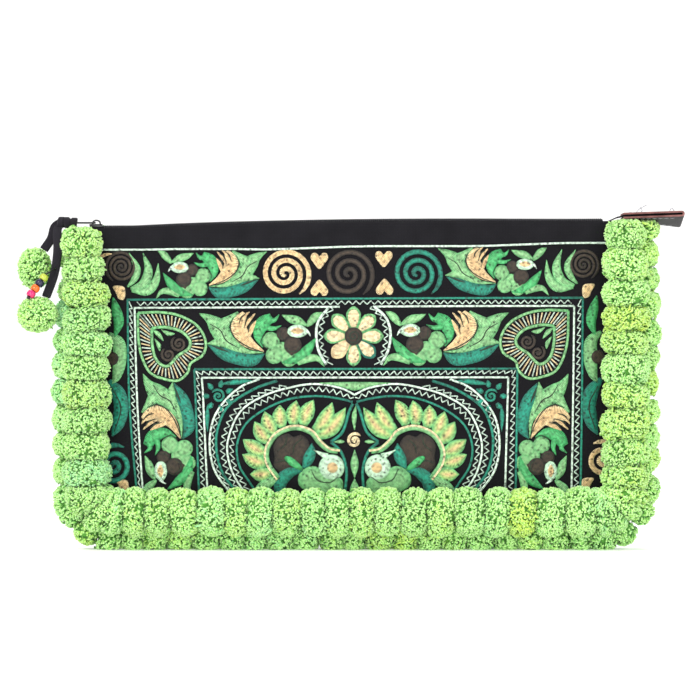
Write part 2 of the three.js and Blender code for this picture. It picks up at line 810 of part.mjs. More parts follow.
beadColours.forEach(({ name, colour }, i) => {
  const centre = beadStart.clone().addScaledVector(beadFall, i * beadPitch);
  const paint = new THREE.MeshStandardMaterial({ color: colour, roughness: 0.25 });
  addPiece(name, beadGeometry(centre), paint);
});

// The thread starts against the strap, runs through the beads and ends in a knot.
const threadKnot = [
  { along: 0, radius: threadKnotRadius },
  { along: threadKnotLength * 0.67, radius: threadKnotRadius },
  { along: threadKnotLength, radius: threadRadius },
];

function threadGeometry() {
  const lastBead = (beadColours.length - 1) * beadPitch;
  const first = beadStart.clone().addScaledVector(beadFall, -beadLength / 2 - threadLead);
  const last = beadStart.clone().addScaledVector(beadFall, lastBead + beadLength / 2 + clearance);
  const onStrap = lowerTail.getPointAt(0.62);
  onStrap.y -= strapThickness / 2 + threadRadius + clearance;
  const ring = (at, along, radius) => {
    const u = new THREE.Vector3(along.z, 0, -along.x).normalize();
    const v = new THREE.Vector3().crossVectors(along, u).normalize();
    return Array.from({ length: 8 }, (_, k) => {
      const angle = (k / 8) * 2 * Math.PI;
      return at
        .clone()
        .addScaledVector(u, radius * Math.cos(angle))
        .addScaledVector(v, radius * Math.sin(angle))
        .toArray();
    });
  };
  const slant = first.clone().sub(onStrap).normalize();
  const rings = [
    ring(onStrap, slant, threadRadius),
    ring(first, slant.clone().add(beadFall).normalize(), threadRadius),
    ring(last, beadFall, threadRadius),
  ];
  for (const { along, radius } of threadKnot) {
    const at = last.clone().addScaledVector(beadFall, along + 0.1);
    rings.push(ring(at, beadFall, radius));
  }
  return loft(rings);
}

addPiece("charm_thread", threadGeometry(), waxedThread);

export default bag;
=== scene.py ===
"""A flat zip clutch of black cotton, with a stitched front, yarn pompoms, a leather zip tab and a charm.

Metres, +Z up, the front faces -Y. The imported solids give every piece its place.
"""

import math

import bpy
import numpy as np
from mathutils import Matrix, Vector
from mathutils.bvhtree import BVHTree


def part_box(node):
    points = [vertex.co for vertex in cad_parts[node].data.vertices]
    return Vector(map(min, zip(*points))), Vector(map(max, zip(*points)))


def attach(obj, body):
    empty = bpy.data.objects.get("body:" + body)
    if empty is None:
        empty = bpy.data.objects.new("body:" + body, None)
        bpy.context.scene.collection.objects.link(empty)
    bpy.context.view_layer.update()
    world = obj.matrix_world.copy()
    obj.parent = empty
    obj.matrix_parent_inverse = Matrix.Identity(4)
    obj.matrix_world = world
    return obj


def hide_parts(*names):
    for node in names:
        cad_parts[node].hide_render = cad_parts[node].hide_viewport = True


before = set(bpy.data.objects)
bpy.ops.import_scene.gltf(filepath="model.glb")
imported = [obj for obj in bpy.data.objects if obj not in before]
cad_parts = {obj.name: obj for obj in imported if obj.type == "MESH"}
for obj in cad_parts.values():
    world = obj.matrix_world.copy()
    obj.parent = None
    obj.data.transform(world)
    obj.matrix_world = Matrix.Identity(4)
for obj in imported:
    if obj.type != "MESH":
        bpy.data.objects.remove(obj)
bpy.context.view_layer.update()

# Front and back panel
# Two pieces of plain woven black cotton, sewn together along the sides and the bottom into a flat pouch.
# They are stuffed lightly, so each is crowned and has soft, shallow dents.
MM = 0.001
COTTON_BLACK = "#0c0b0f"
COTTON_DUSTY = "#17161a"
GROUND_BLACK = "#060508"
GROUND_DUSTY = "#110f14"
COTTON_THREAD = 0.9
LINT_PER_METRE = 60.0
DENT_DEPTH = 1.2
DENT_SIZE = 45


def linear(hex_colour):
    """The linear RGBA of an sRGB hex colour."""
    parts = [int(hex_colour[i : i + 2], 16) / 255 for i in (1, 3, 5)]
    return tuple(c / 12.92 if c <= 0.04045 else ((c + 0.055) / 1.055) ** 2.4 for c in parts) + (1.0,)


def new_material(name):
    """A material with its tree and its Principled shader."""
    made = bpy.data.materials.new(name)
    made.use_nodes = True
    return made, made.node_tree, made.node_tree.nodes["Principled BSDF"]


def set_inputs(node, inputs):
    """Sets the sockets of those names or numbers, and links a value that is another node's socket."""
    for name, value in dict(inputs).items():
        if isinstance(value, bpy.types.NodeSocket):
            node.id_data.links.new(value, node.inputs[name])
        else:
            node.inputs[name].default_value = value


def add_node(tree, kind, inputs=(), **settings):
    """A shader node with its settings and its inputs."""
    made = tree.nodes.new("ShaderNode" + kind)
    for name, value in settings.items():
        setattr(made, name, value)
    set_inputs(made, inputs)
    return made


def set_ramp(ramp, stops):
    """Gives a colour ramp its stops, each a place and a hex colour."""
    elements = ramp.color_ramp.elements
    while len(elements) < len(stops):
        elements.new(0.5)
    for element, (place, colour) in zip(elements, stops):
        element.position = place
        element.color = linear(colour)


def woven_cotton(name, dark, light, thread_mm):
    """Plain weave: matt, with warp and weft crossing in small bumps, and lint that greys it in patches."""
    made, tree, shader = new_material(name)
    place = add_node(tree, "TexCoord").outputs["Object"]
    wave = {"Vector": place, "Scale": 2 * math.pi / (20 * thread_mm * MM), "Distortion": 0.6, "Detail": 1.0}
    warp, weft = (add_node(tree, "TexWave", wave, bands_direction=way).outputs["Fac"] for way in "XZ")
    weave = add_node(tree, "Math", {0: warp, 1: weft}, operation="MULTIPLY").outputs[0]
    lint = add_node(tree, "TexNoise", {"Vector": place, "Scale": LINT_PER_METRE, "Detail": 6.0})
    both = {0: weave, 1: 0.35, 2: lint.outputs["Fac"]}
    greyed = add_node(tree, "Math", both, operation="MULTIPLY_ADD").outputs[0]
    ramp = add_node(tree, "ValToRGB", {"Fac": greyed})
    set_ramp(ramp, [(0.35, dark), (0.85, light)])
    bump = add_node(tree, "Bump", {"Height": weave, "Strength": 0.5, "Distance": 0.25 * MM})
    set_inputs(shader, {"Base Color": ramp.outputs["Color"], "Normal": bump.outputs["Normal"]})
    set_inputs(shader, {"Roughness": 0.95, "Specular IOR Level": 0.2})
    set_inputs(shader, {"Sheen Weight": 0.05, "Sheen Roughness": 0.5})
    return made


def select_only(piece):
    """Deselects everything else and makes the piece active."""
    bpy.ops.object.select_all(action="DESELECT")
    piece.select_set(True)
    bpy.context.view_layer.objects.active = piece


def box_mm(node):
    """The low and high corner of a node's box, in mm."""
    return [np.array(corner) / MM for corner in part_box(node)]


def merged_copy(node, name):
    """A new object with the node's mesh, its loose triangles joined and paired into quads."""
    piece = bpy.data.objects.new(name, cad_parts[node].data.copy())
    bpy.context.scene.collection.objects.link(piece)
    piece.data.materials.clear()
    select_only(piece)
    bpy.ops.object.mode_set(mode="EDIT")
    bpy.ops.mesh.select_all(action="SELECT")
    bpy.ops.mesh.remove_doubles(threshold=0.01 * MM)
    bpy.ops.mesh.tris_convert_to_quads(face_threshold=math.radians(40), shape_threshold=math.radians(40))
    bpy.ops.object.mode_set(mode="OBJECT")
    return piece


def smooth_by_angle(piece, degrees):
    """Shades the piece smooth except at edges that turn by more than the angle."""
    select_only(piece)
    bpy.ops.object.shade_smooth_by_angle(angle=math.radians(degrees))


def crease_sharp(piece, degrees, amount):
    """Creases the edges that turn by more than an angle, so that a subdivided copy keeps them."""
    select_only(piece)
    bpy.ops.object.mode_set(mode="EDIT")
    bpy.ops.mesh.select_mode(type="EDGE")
    bpy.ops.mesh.select_all(action="DESELECT")
    bpy.ops.mesh.edges_select_sharp(sharpness=math.radians(degrees))
    bpy.ops.transform.edge_crease(value=amount)
    bpy.ops.object.mode_set(mode="OBJECT")


def apply_modifier(piece, kind, **settings):
    """Adds a modifier with its settings and applies it."""
    select_only(piece)
    made = piece.modifiers.new(kind.lower(), kind)
    for name, value in settings.items():
        setattr(made, name, value)
    bpy.ops.object.modifier_apply(modifier=made.name)


def finish_piece(piece, slot, *nodes):
    """Sets the piece on the body, in place of its nodes. The slot is not used."""
    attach(piece, "root")
    if nodes:
        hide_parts(*nodes)


dents = bpy.data.textures.new("cloth_dents", "CLOUDS")
dents.noise_scale = DENT_SIZE * MM
dents.noise_depth = 1


def cloth_piece(node, name, material):
    """A smooth cloth wall from its node, with shallow dents that run on from one piece to the next."""
    piece = merged_copy(node, name)
    crease_sharp(piece, 60, 1.0)
    apply_modifier(piece, "SUBSURF", levels=2, render_levels=2, boundary_smooth="PRESERVE_CORNERS")
    apply_modifier(
        piece,
        "DISPLACE",
        texture=dents,
        texture_coords="GLOBAL",
        direction="Y",
        strength=DENT_DEPTH * MM,
        mid_level=0.5,
    )
    piece.data.shade_smooth()
    piece.data.materials.append(material)
    finish_piece(piece, "black_cotton", node)
    return piece


black_cotton = woven_cotton("woven_black_cotton", COTTON_BLACK, COTTON_DUSTY, COTTON_THREAD)
ground_cotton = woven_cotton("woven_black_ground", GROUND_BLACK, GROUND_DUSTY, COTTON_THREAD)
front_panel = cloth_piece("front_panel", "panel_front", ground_cotton)
cloth_piece("back_panel", "panel_back", black_cotton)

# Front and back band
# A strip of the same black cotton above each panel. It holds the zip tape and is turned over at the mouth.
front_band = cloth_piece("front_band", "band_front", black_cotton)
cloth_piece("back_band", "band_back", black_cotton)

# Pompom trim
# Cut yarn in two rows, tied on a cord and sewn along the seam: the front row lies on the panel's edge,
# and the edge row straddles the seam. They are packed so tightly that each is squeezed into a wheel.
HALF_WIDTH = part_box("front_panel")[1].x / MM
SEAM_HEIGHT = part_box("front_panel")[0].z / MM
CORNER_RADIUS = 20
ROWS = {
    "front": {"radius": 14.6, "depth": -15.5, "side": -1.5, "bottom": -4.5},
    "edge": {"radius": 17.8, "depth": 3.0, "side": 2.5, "bottom": 5.5},
}
EDGE_TUCK = 5
TUCK_LENGTH = 60
# Lengths of the wheels along the seam, from the top left corner round to the top right one. Each run of
# them is fitted to its node.
WHEELS = {
    "front_garland_left": [17.6, 13.6, 14.7, 14.7, 13.5, 14.1, 16.5, 14.1, 15.3, 15.2, 15.3],
    "front_garland_bottom": [8.3, 11, 12.3, 14.7, 16.5, 16.5, 12.3, 15.3, 16.5, 14.7, 14.1]
    + [14.1, 15.9, 15.3, 15.9, 17.6, 14.7, 15.9, 17.1, 18.2, 8, 6.6],
    "front_garland_right": [7.2, 7.2, 13.5, 15.3, 18.2, 14.7, 17.1, 13.5, 14.7, 15.3, 18.2, 17.1],
    "edge_garland_left": [10, 15, 14.5, 16, 13.5, 15.5, 14.5, 15, 14, 15.5, 14.5],
    "edge_garland_bottom": [8, 9, 12.5, 15, 14, 16, 14.5, 13.5, 15.5, 14.5, 15]
    + [14, 16, 13.5, 15, 14.5, 15.5, 14, 15, 16, 12, 9, 8],
    "edge_garland_right": [9, 12, 14.5, 15.5, 14, 16, 14, 15, 15.5, 14, 15, 12],
}
TOP_WHEELS = [0.82, 0.9, 0.96]
TOP_SHIFT = 17
STRAND_RINGS = [(0.42, 1.05), (0.88, 0.92)]
STRAND_POINTS = 8
YARN_THICK = 1.5
YARN_SHOWN = 4.8
YARN_SPACING = 1.36
YARN_TOUSLE = 0.72
YARN_CURL = 1.1
YARN_BEND = 1.7
YARN_UNEVEN = (0.8, 1.15)
WHEEL_COVER = 1.12
WHEEL_UNEVEN = (0.97, 1.04)
END_CAP = 0.6
INNER_CAP = 0.12
END_CREASE = 0.1
POUCH_GAP = 1.0
ROW_OVERLAP = 1.5
WHEEL_SQUARE = 1.2
CREASE = 0.42
# Painted shade on the strands near the creases between neighbouring pompoms.
CREASE_SHADE = 2.4
CORE_INSET = 2.9
CORE_SIDES = 24
CORE_LEANS = (-84, -50, 0, 50, 84)
CORE_TOP = 183
# For each run of pompoms, a shift of tint and of lightness: the left run bluer and darker, the bottom and
# right runs lighter, the right warmer.
RUN_TONES = {"left": (-0.2, -0.25), "bottom": (0.0, 0.2), "right": (0.22, 0.2)}
# Painted light that lifts the edge row, which gets little light low under the front row.
EDGE_PAINTED_LIGHT = 0.8
# The middle's place on the yarn's colour ramp, near its dark end: painted shade under the strands.
CORE_PAINTED_SHADE = 0.2
FLOOR_GAP = 0.15
DYE_PER_METRE = 28.0
PLIES_PER_METRE = 1800.0
# Colours along each strand from root to tip: painted shade from the root to the middle, the yarn's green,
# and a painted highlight at the tip.
YARN_ROOT_SHADE = "#569638"
YARN_SHADE = "#7cbc5a"
YARN_GREEN = "#a9dc7c"
YARN_TIP_HIGHLIGHT = "#c6eca2"
YARN_MINT = "#9fe0a4"
YARN_LEMON = "#c3dc50"

left_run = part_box("front_garland_left")[1].z / MM - SEAM_HEIGHT - CORNER_RADIUS
right_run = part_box("front_garland_right")[1].z / MM - SEAM_HEIGHT - CORNER_RADIUS
corner_run = CORNER_RADIUS * math.pi / 2
bottom_run = 2 * (HALF_WIDTH - CORNER_RADIUS)
seam_length = left_run + right_run + bottom_run + 2 * corner_run
left_split = left_run + corner_run / 2
right_split = seam_length - right_run - corner_run / 2
RUNS = {"left": (0, left_split), "bottom": (left_split, right_split), "right": (right_split, seam_length)}


def seam_at(s):
    """Points on the U-shaped seam at lengths s in mm, and the directions away from the pouch there."""
    s = np.asarray(s, float)
    corner = HALF_WIDTH - CORNER_RADIUS, SEAM_HEIGHT + CORNER_RADIUS
    on_left = s < seam_length / 2
    from_top = np.where(on_left, s, seam_length - s)
    run = np.where(on_left, left_run, right_run)
    turn = np.clip((from_top - run) / CORNER_RADIUS, 0, math.pi / 2)
    side = np.where(on_left, -1.0, 1.0)
    along = np.maximum(from_top - run - corner_run, 0)
    out = np.stack([side * np.cos(turn), np.zeros_like(s), -np.sin(turn)], -1)
    x = side * (corner[0] + CORNER_RADIUS * np.cos(turn) - along)
    z = corner[1] - CORNER_RADIUS * np.sin(turn) + np.maximum(run - from_top, 0)
    return np.stack([x, np.zeros_like(s), z], -1), out


def row_centre(row, s):
    """How far the row's middle lies out from the seam at s, in mm."""
    _, out = seam_at(s)
    hang = row["side"] + (row["bottom"] - row["side"]) * out[..., 2] ** 2
    if row is ROWS["edge"]:
        t = np.clip((np.asarray(s) - TUCK_LENGTH / 2) / (TUCK_LENGTH / 2), 0, 1)
        hang = hang - EDGE_TUCK * (1 - t * t * (3 - 2 * t))
    return hang


def depth_map(piece, step_mm=2.0):
    """The depth in mm of a cloth piece's front, on a grid over it, found by rays along Y."""
    tree = BVHTree.FromObject(piece, bpy.context.evaluated_depsgraph_get())
    xs = np.arange(-HALF_WIDTH, HALF_WIDTH + step_mm, step_mm)
    zs = np.arange(SEAM_HEIGHT, 200, step_mm)
    depths = np.zeros((len(xs), len(zs)))
    for i, x in enumerate(xs):
        for k, z in enumerate(zs):
            hit = tree.ray_cast(Vector((x * MM, -0.1, z * MM)), Vector((0, 1, 0)))[0]
            depths[i, k] = np.nan if hit is None else hit.y / MM
    return xs, zs, depths


xs, zs, panel_depths = depth_map(front_panel)
band_depths = depth_map(front_band)[2]
front_depths = np.fmin(panel_depths, band_depths)
for column in front_depths:
    known = ~np.isnan(column)
    if known.any():
        column[~known] = np.interp(zs[~known], zs[known], column[known])
    else:
        column[:] = 0


def cloth_depth(x, z):
    """The Y in mm of the front cloth at points x, z in mm, between the grid's own points."""
    i = np.clip((np.asarray(x) - xs[0]) / (xs[1] - xs[0]), 0, len(xs) - 1.001)
    k = np.clip((np.asarray(z) - zs[0]) / (zs[1] - zs[0]), 0, len(zs) - 1.001)
    a, b = i.astype(int), k.astype(int)
    u, v = i - a, k - b
    low = front_depths[a, b] * (1 - u) + front_depths[a + 1, b] * u
    high = front_depths[a, b + 1] * (1 - u) + front_depths[a + 1, b + 1] * u
    return low * (1 - v) + high * v


def unit(vectors):
    """The vectors at length 1."""
    return vectors / np.maximum(np.linalg.norm(vectors, axis=-1, keepdims=True), 1e-9)


def mesh_object(name, points, triangles, attributes, material):
    """A mesh from arrays in mm, with its point attributes, set down as a piece."""
    mesh = bpy.data.meshes.new(name)
    mesh.vertices.add(len(points))
    mesh.vertices.foreach_set("co", (points * MM).astype(np.float32).ravel())
    mesh.loops.add(triangles.size)
    mesh.loops.foreach_set("vertex_index", triangles.astype(np.int32).ravel())
    mesh.polygons.add(len(triangles))
    mesh.polygons.foreach_set("loop_start", np.arange(0, triangles.size, 3, dtype=np.int32))
    mesh.update(calc_edges=True)
    for label, values in attributes.items():
        kind, field = ("FLOAT", "value") if values.ndim == 1 else ("FLOAT_COLOR", "color")
        made = mesh.attributes.new(label, kind, "POINT")
        made.data.foreach_set(field, values.astype(np.float32).ravel())
    mesh.materials.append(material)
    mesh.shade_smooth()
    piece = bpy.data.objects.new(name, mesh)
    bpy.context.scene.collection.objects.link(piece)
    return piece


def yarn_ends(roots, tips, bends, radii):
    """Cut ends of yarn, as bent three-sided strands: points, triangles and each point's share of the way."""
    middle = (roots + tips) / 2 + bends
    axis = unit(tips - roots)
    some = np.where(np.abs(axis[:, :1]) < 0.8, [[1.0, 0, 0]], [[0, 1.0, 0]])
    across = unit(np.cross(axis, some))
    up = np.cross(axis, across)
    rings = [roots]
    for t, width in STRAND_RINGS:
        at = (1 - t) ** 2 * roots + 2 * t * (1 - t) * middle + t**2 * tips
        for corner in range(3):
            turn = corner * 2 * math.pi / 3
            rings.append(at + (across * math.cos(turn) + up * math.sin(turn)) * (radii * width)[:, None])
    points = np.stack([*rings, tips], 1)
    faces = []
    for corner in range(3):
        a, b = 1 + corner, 1 + (corner + 1) % 3
        faces += [(0, b, a), (a, b, b + 3), (a, b + 3, a + 3), (a + 3, b + 3, 7)]
    count = len(roots)
    triangles = (np.array(faces)[None] + STRAND_POINTS * np.arange(count)[:, None, None]).reshape(-1, 3)
    along = np.tile([0, *np.repeat([t for t, _ in STRAND_RINGS], 3), 1.0], count)
    return points.reshape(-1, 3), triangles, along


def wheel_surface(row, wheel, lean, turn, inset=0.0):
    """Points on a squeezed pompom. lean is -90 degrees at its start along the seam and 90 at its end."""
    low = np.where(lean < 0, wheel["start_share"], wheel["end_share"])
    share = low + (1 - low) * np.cos(lean) ** 0.5
    across = np.sign(lean) * np.abs(np.sin(lean)) ** WHEEL_SQUARE
    lumps = 1 + 0.03 * np.sin(3 * turn + wheel["phase"]) + 0.02 * np.sin(7 * turn + 2 * wheel["phase"])
    reach = wheel["radius"] * share * lumps - inset
    s = (wheel["from"] + wheel["to"]) / 2 + across * (wheel["to"] - wheel["from"]) / 2
    s = s + wheel["tilt"] * reach * np.cos(turn)
    at, out = seam_at(s)
    n = row_centre(row, s) + wheel["shift"] + reach * np.cos(turn)
    y = row["depth"] + reach * np.sin(turn)
    return at + out * n[:, None] + np.array([0, 1, 0]) * y[:, None]


def wheel_ends(rng, row, wheel):
    """Yarn ends round one squeezed pompom: roots, tips, bends, where they show and how much painted shade
    they get towards the creases.
    """
    around = 2 * math.pi * wheel["radius"]
    count = int(around * (wheel["to"] - wheel["from"]) * WHEEL_COVER / YARN_SPACING**2)
    turn = rng.uniform(0, 2 * math.pi, count)
    spread = rng.uniform(-1, 1, count)
    lean = np.sign(spread) * np.arcsin(np.abs(spread) ** (1 / WHEEL_SQUARE))
    on_cap = rng.random(count) < wheel["cap"]
    lean = np.where(on_cap, spread * math.pi / 2, lean)
    surface = wheel_surface(row, wheel, lean, turn)
    heart = wheel_surface(row, wheel, lean * 0.5, turn, 0.7 * wheel["radius"])
    direction = unit(unit(surface - heart) + rng.uniform(-YARN_TOUSLE, YARN_TOUSLE, surface.shape))
    shown = YARN_SHOWN * rng.uniform(*YARN_UNEVEN, count)
    tips = surface + direction * rng.normal(0, 0.35, count)[:, None]
    roots = tips - direction * shown[:, None]
    bends = np.cross(direction, rng.uniform(-YARN_BEND, YARN_BEND, surface.shape)) * YARN_CURL
    return roots, tips, bends, surface, CREASE_SHADE * np.abs(2 * lean / math.pi) ** 5


def closed_loft(rings):
    """Points and triangles of a closed body through rings of points, with a fan at each end."""
    sides = len(rings[0])
    points = np.concatenate([*rings, rings[0].mean(0)[None], rings[-1].mean(0)[None]])
    faces = []
    for r in range(len(rings) - 1):
        for k in range(sides):
            a, b = r * sides + k, r * sides + (k + 1) % sides
            faces += [(a, b, b + sides), (a, b + sides, a + sides)]
    last = (len(rings) - 1) * sides
    for k in range(sides):
        after = (k + 1) % sides
        faces += [(len(points) - 2, after, k), (len(points) - 1, last + k, last + after)]
    return points, np.array(faces)


def join_arrays(parts):
    """One set of points and triangles from several."""
    points, triangles, count = [], [], 0
    for some_points, some_triangles in parts:
        points.append(some_points)
        triangles.append(some_triangles + count)
        count += len(some_points)
    return np.concatenate(points), np.concatenate(triangles)


def facing_out(points, triangles):
    """The closed mesh's triangles, turned round if its volume comes out negative."""
    a, b, c = (points[triangles[:, k]] for k in range(3))
    return triangles if np.einsum("ij,ij->i", a, np.cross(b, c)).sum() > 0 else triangles[:, ::-1]


def pompom_piece(name, core, strands, tint, shade):
    """A piece of cut yarn: its ends and the dense middle that they stand on, coloured near the dark end of
    the ramp as painted shade.
    """
    roots, tips, bends, radii = strands
    points, triangles, along = yarn_ends(roots, tips, bends, radii)
    core_points, core_triangles = core
    core_triangles = facing_out(core_points, core_triangles)
    blank = np.zeros(len(core_points))
    points, triangles = join_arrays([(points, triangles), (core_points, core_triangles)])
    points[:, 2] = np.maximum(points[:, 2], FLOOR_GAP)
    attributes = {
        # The middle takes a place near the ramp's dark end: painted shade.
        "along": np.append(along, blank + CORE_PAINTED_SHADE),
        "tint": np.append(np.repeat(tint, STRAND_POINTS), blank),
        "shade": np.append(np.repeat(shade, STRAND_POINTS), blank),
    }
    return mesh_object(name, points, triangles, attributes, cut_yarn)


def garland(node):
    """One run of pompoms in place of its node."""
    row_name, _, run_name = node.split("_")
    row, other = ROWS[row_name], ROWS["edge" if row_name == "front" else "front"]
    rng = np.random.default_rng(sum(map(ord, node)))
    start, end = RUNS[run_name]
    edges = start + np.cumsum([0, *WHEELS[node]]) / sum(WHEELS[node]) * (end - start)
    parts, tint, shade, core = [], [], [], []
    ring_turns = np.linspace(0, 2 * math.pi, CORE_SIDES, endpoint=False)
    for k, (a, b) in enumerate(zip(edges, edges[1:])):
        at_top = k == 0 if run_name == "left" else run_name == "right" and k == len(edges) - 2
        from_top = {"left": k, "right": len(edges) - 2 - k}.get(run_name, 9)
        small = TOP_WHEELS[from_top] if from_top < len(TOP_WHEELS) and row_name == "front" else 1.0
        wheel = {
            "from": a,
            "to": b,
            "radius": row["radius"] * small * rng.uniform(*WHEEL_UNEVEN),
            "start_share": END_CREASE if at_top and run_name == "left" else CREASE,
            "end_share": END_CREASE if at_top and run_name == "right" else CREASE,
            "phase": rng.uniform(0, 6),
            "tilt": rng.normal(0, 0.05),
            "cap": END_CAP if at_top else INNER_CAP,
            "shift": (1 - small) * TOP_SHIFT if run_name == "left" else 0,
        }
        roots, tips, bends, surface, painted_crease_shade = wheel_ends(rng, row, wheel)
        keep = outside_pouch(surface) & on_own_side(row, other, surface, (a + b) / 2)
        if row_name == "edge":
            keep &= clear_of_face(surface)
        parts.append([v[keep] for v in (roots, tips, bends)])
        count = int(keep.sum())
        warmer, lighter = RUN_TONES[run_name]
        # The edge row is painted lighter to stand in for the light it lacks.
        lighter += EDGE_PAINTED_LIGHT if row_name == "edge" else 0
        tint.append(rng.normal(warmer, 0.22) + rng.normal(0, 0.2, count))
        # Each strand's lightness: random tone, the run's tone, painted light on the edge row and painted
        # shade near the creases.
        shade.append(rng.normal(lighter, 0.2) + rng.normal(0, 0.35, count) - painted_crease_shade[keep])
        middle = dict(wheel)
        if at_top:
            middle["from"] = a + (CORE_INSET if run_name == "left" else 0)
            middle["to"] = b - (CORE_INSET if run_name == "right" else 0)
        for lean in CORE_LEANS:
            leans = np.full(CORE_SIDES, math.radians(lean))
            ring = wheel_surface(row, middle, leans, ring_turns, CORE_INSET)
            core.append(tucked_in(ring) if row_name == "edge" else ring)
    roots, tips, bends = (np.concatenate(v) for v in zip(*parts))
    radii = YARN_THICK / 2 * rng.uniform(0.85, 1.12, len(roots))
    tint, shade = np.concatenate(tint), np.concatenate(shade)
    name = node.replace("garland", "pompoms")
    piece = pompom_piece(name, closed_loft(core), (roots, tips, bends, radii), tint, shade)
    finish_piece(piece, "green_yarn", node)


def outside_pouch(points):
    """Which points lie outside the stuffed pouch."""
    x, y, z = points.T
    depth = np.abs(cloth_depth(x, z))
    beside = (np.abs(x) > HALF_WIDTH) | (z < SEAM_HEIGHT)
    return beside | (np.abs(y) > depth + POUCH_GAP)


def tucked_in(points):
    """The edge row's middle, drawn in where it would show in front of the cloth or over the zip."""
    x, y, z = points.T
    within = (np.abs(x) < HALF_WIDTH - 1) & (z > SEAM_HEIGHT + 1)
    depth = np.abs(cloth_depth(x, z))
    y = np.where(within, np.clip(y, 0.6 - depth, None), y)
    z = np.where(within, np.clip(z, None, CORE_TOP), z)
    return np.column_stack([x, y, z])


def clear_of_face(points):
    """Which points would not lie on the embroidered face, where the edge row has no strands."""
    x, y, z = points.T
    return (y > 0) | (np.abs(x) > HALF_WIDTH - 2) | (z < SEAM_HEIGHT + 2)


def on_own_side(row, other, points, s):
    """Which points lie on this row's side of the flat where the two rows press against each other."""
    at, out = seam_at(np.array([s]))
    n = (points - at[0]) @ out[0]
    here = np.array([row_centre(row, np.array([s]))[0], row["depth"]])
    there = np.array([row_centre(other, np.array([s]))[0], other["depth"]])
    apart = np.linalg.norm(there - here)
    reach = (apart**2 + row["radius"] ** 2 - other["radius"] ** 2) / (2 * apart)
    past = ((n - here[0]) * (there - here)[0] + (points[:, 1] - here[1]) * (there - here)[1]) / apart
    return past < reach + ROW_OVERLAP


def cut_yarn_material():
    """Acrylic yarn: matt and soft, two plies twisted, with painted shade where it goes down between its
    neighbours and a painted highlight at the tips.
    """
    made, tree, shader = new_material("cut_acrylic_yarn")
    names = ("along", "tint", "shade")
    along, tint, shade = (add_node(tree, "Attribute", attribute_name=name).outputs["Fac"] for name in names)
    place = add_node(tree, "TexCoord").outputs["Object"]
    patches = add_node(tree, "TexNoise", {"Vector": place, "Scale": DYE_PER_METRE, "Detail": 2.0})
    # The strands darken towards their roots and lighten at their tips: painted shade and painted highlight.
    body = add_node(tree, "ValToRGB", {"Fac": along})
    set_ramp(body, [(0.15, YARN_ROOT_SHADE), (0.42, YARN_SHADE), (0.75, YARN_GREEN), (1.0, YARN_TIP_HIGHLIGHT)])
    warm = add_node(tree, "Math", {0: patches.outputs["Fac"], 1: 1.2, 2: tint}, operation="MULTIPLY_ADD")
    colour = body.outputs["Color"]
    for low, high, dye in ((0.75, 2.0, YARN_LEMON), (0.35, -0.6, YARN_MINT)):
        share = add_node(tree, "MapRange", {"Value": warm.outputs[0], "From Min": low, "From Max": high})
        mix = {"Factor": share.outputs[0], 6: colour, 7: linear(dye)}
        colour = add_node(tree, "Mix", mix, data_type="RGBA").outputs[2]
    # The shade attribute holds random tone and the painted light and shade of the trim.
    bright = add_node(tree, "Math", {0: shade, 1: 0.13, 2: 1.03}, operation="MULTIPLY_ADD")
    coloured = add_node(tree, "HueSaturation", {"Color": colour, "Value": bright.outputs[0]})
    plies = add_node(tree, "TexNoise", {"Vector": place, "Scale": PLIES_PER_METRE, "Detail": 2.0})
    bump = add_node(tree, "Bump", {"Height": plies.outputs["Fac"], "Strength": 0.5, "Distance": 0.3 * MM})
    set_inputs(shader, {"Base Color": coloured.outputs["Color"], "Normal": bump.outputs["Normal"]})
    set_inputs(shader, {"Roughness": 0.9, "Specular IOR Level": 0.15, "Sheen Weight": 0.25})
    return made


cut_yarn = cut_yarn_material()
for node in WHEELS:
    garland(node)

# Charm pompoms
# Two round pompoms of the same cut yarn, each trimmed to a ball and tied to the end of a strap.
BALL_RINGS = 12
BALL_COVER = 1.15
BALL_POLE = 0.12


def charm_pompom(node, seed):
    """A trimmed ball of yarn in place of its node."""
    rng = np.random.default_rng(seed)
    low, high = box_mm(node)
    centre, reach = (low + high) / 2, (high - low) / 2
    count = int(4 * math.pi * reach.mean() ** 2 * BALL_COVER / YARN_SPACING**2)
    direction = unit(rng.normal(0, 1, (count, 3)))
    surface = centre + direction * reach
    slant = unit(direction + rng.uniform(-YARN_TOUSLE, YARN_TOUSLE, direction.shape))
    tips = surface + slant * rng.normal(0.2, 0.5, count)[:, None]
    roots = tips - slant * YARN_SHOWN * rng.uniform(*YARN_UNEVEN, count)[:, None]
    bends = np.cross(slant, rng.uniform(-YARN_BEND, YARN_BEND, slant.shape)) * YARN_CURL
    radii = YARN_THICK / 2 * rng.uniform(0.85, 1.1, count)
    turns = np.linspace(0, 2 * math.pi, CORE_SIDES, endpoint=False)
    core = []
    for tilt in np.linspace(BALL_POLE, math.pi - BALL_POLE, BALL_RINGS):
        flat = np.stack([np.cos(turns) * math.sin(tilt), np.sin(turns) * math.sin(tilt)], -1)
        ring = np.column_stack([flat, np.full(CORE_SIDES, math.cos(tilt))])
        core.append(centre + ring * (reach - CORE_INSET))
    tint = rng.normal(0.1, 0.25, count)
    shade = rng.normal(0, 0.4, count)
    piece = pompom_piece(node + "_yarn", closed_loft(core), (roots, tips, bends, radii), tint, shade)
    finish_piece(piece, "green_yarn", node)


charm_pompom("charm_pompom_upper", 5)
charm_pompom("charm_pompom_lower", 6)

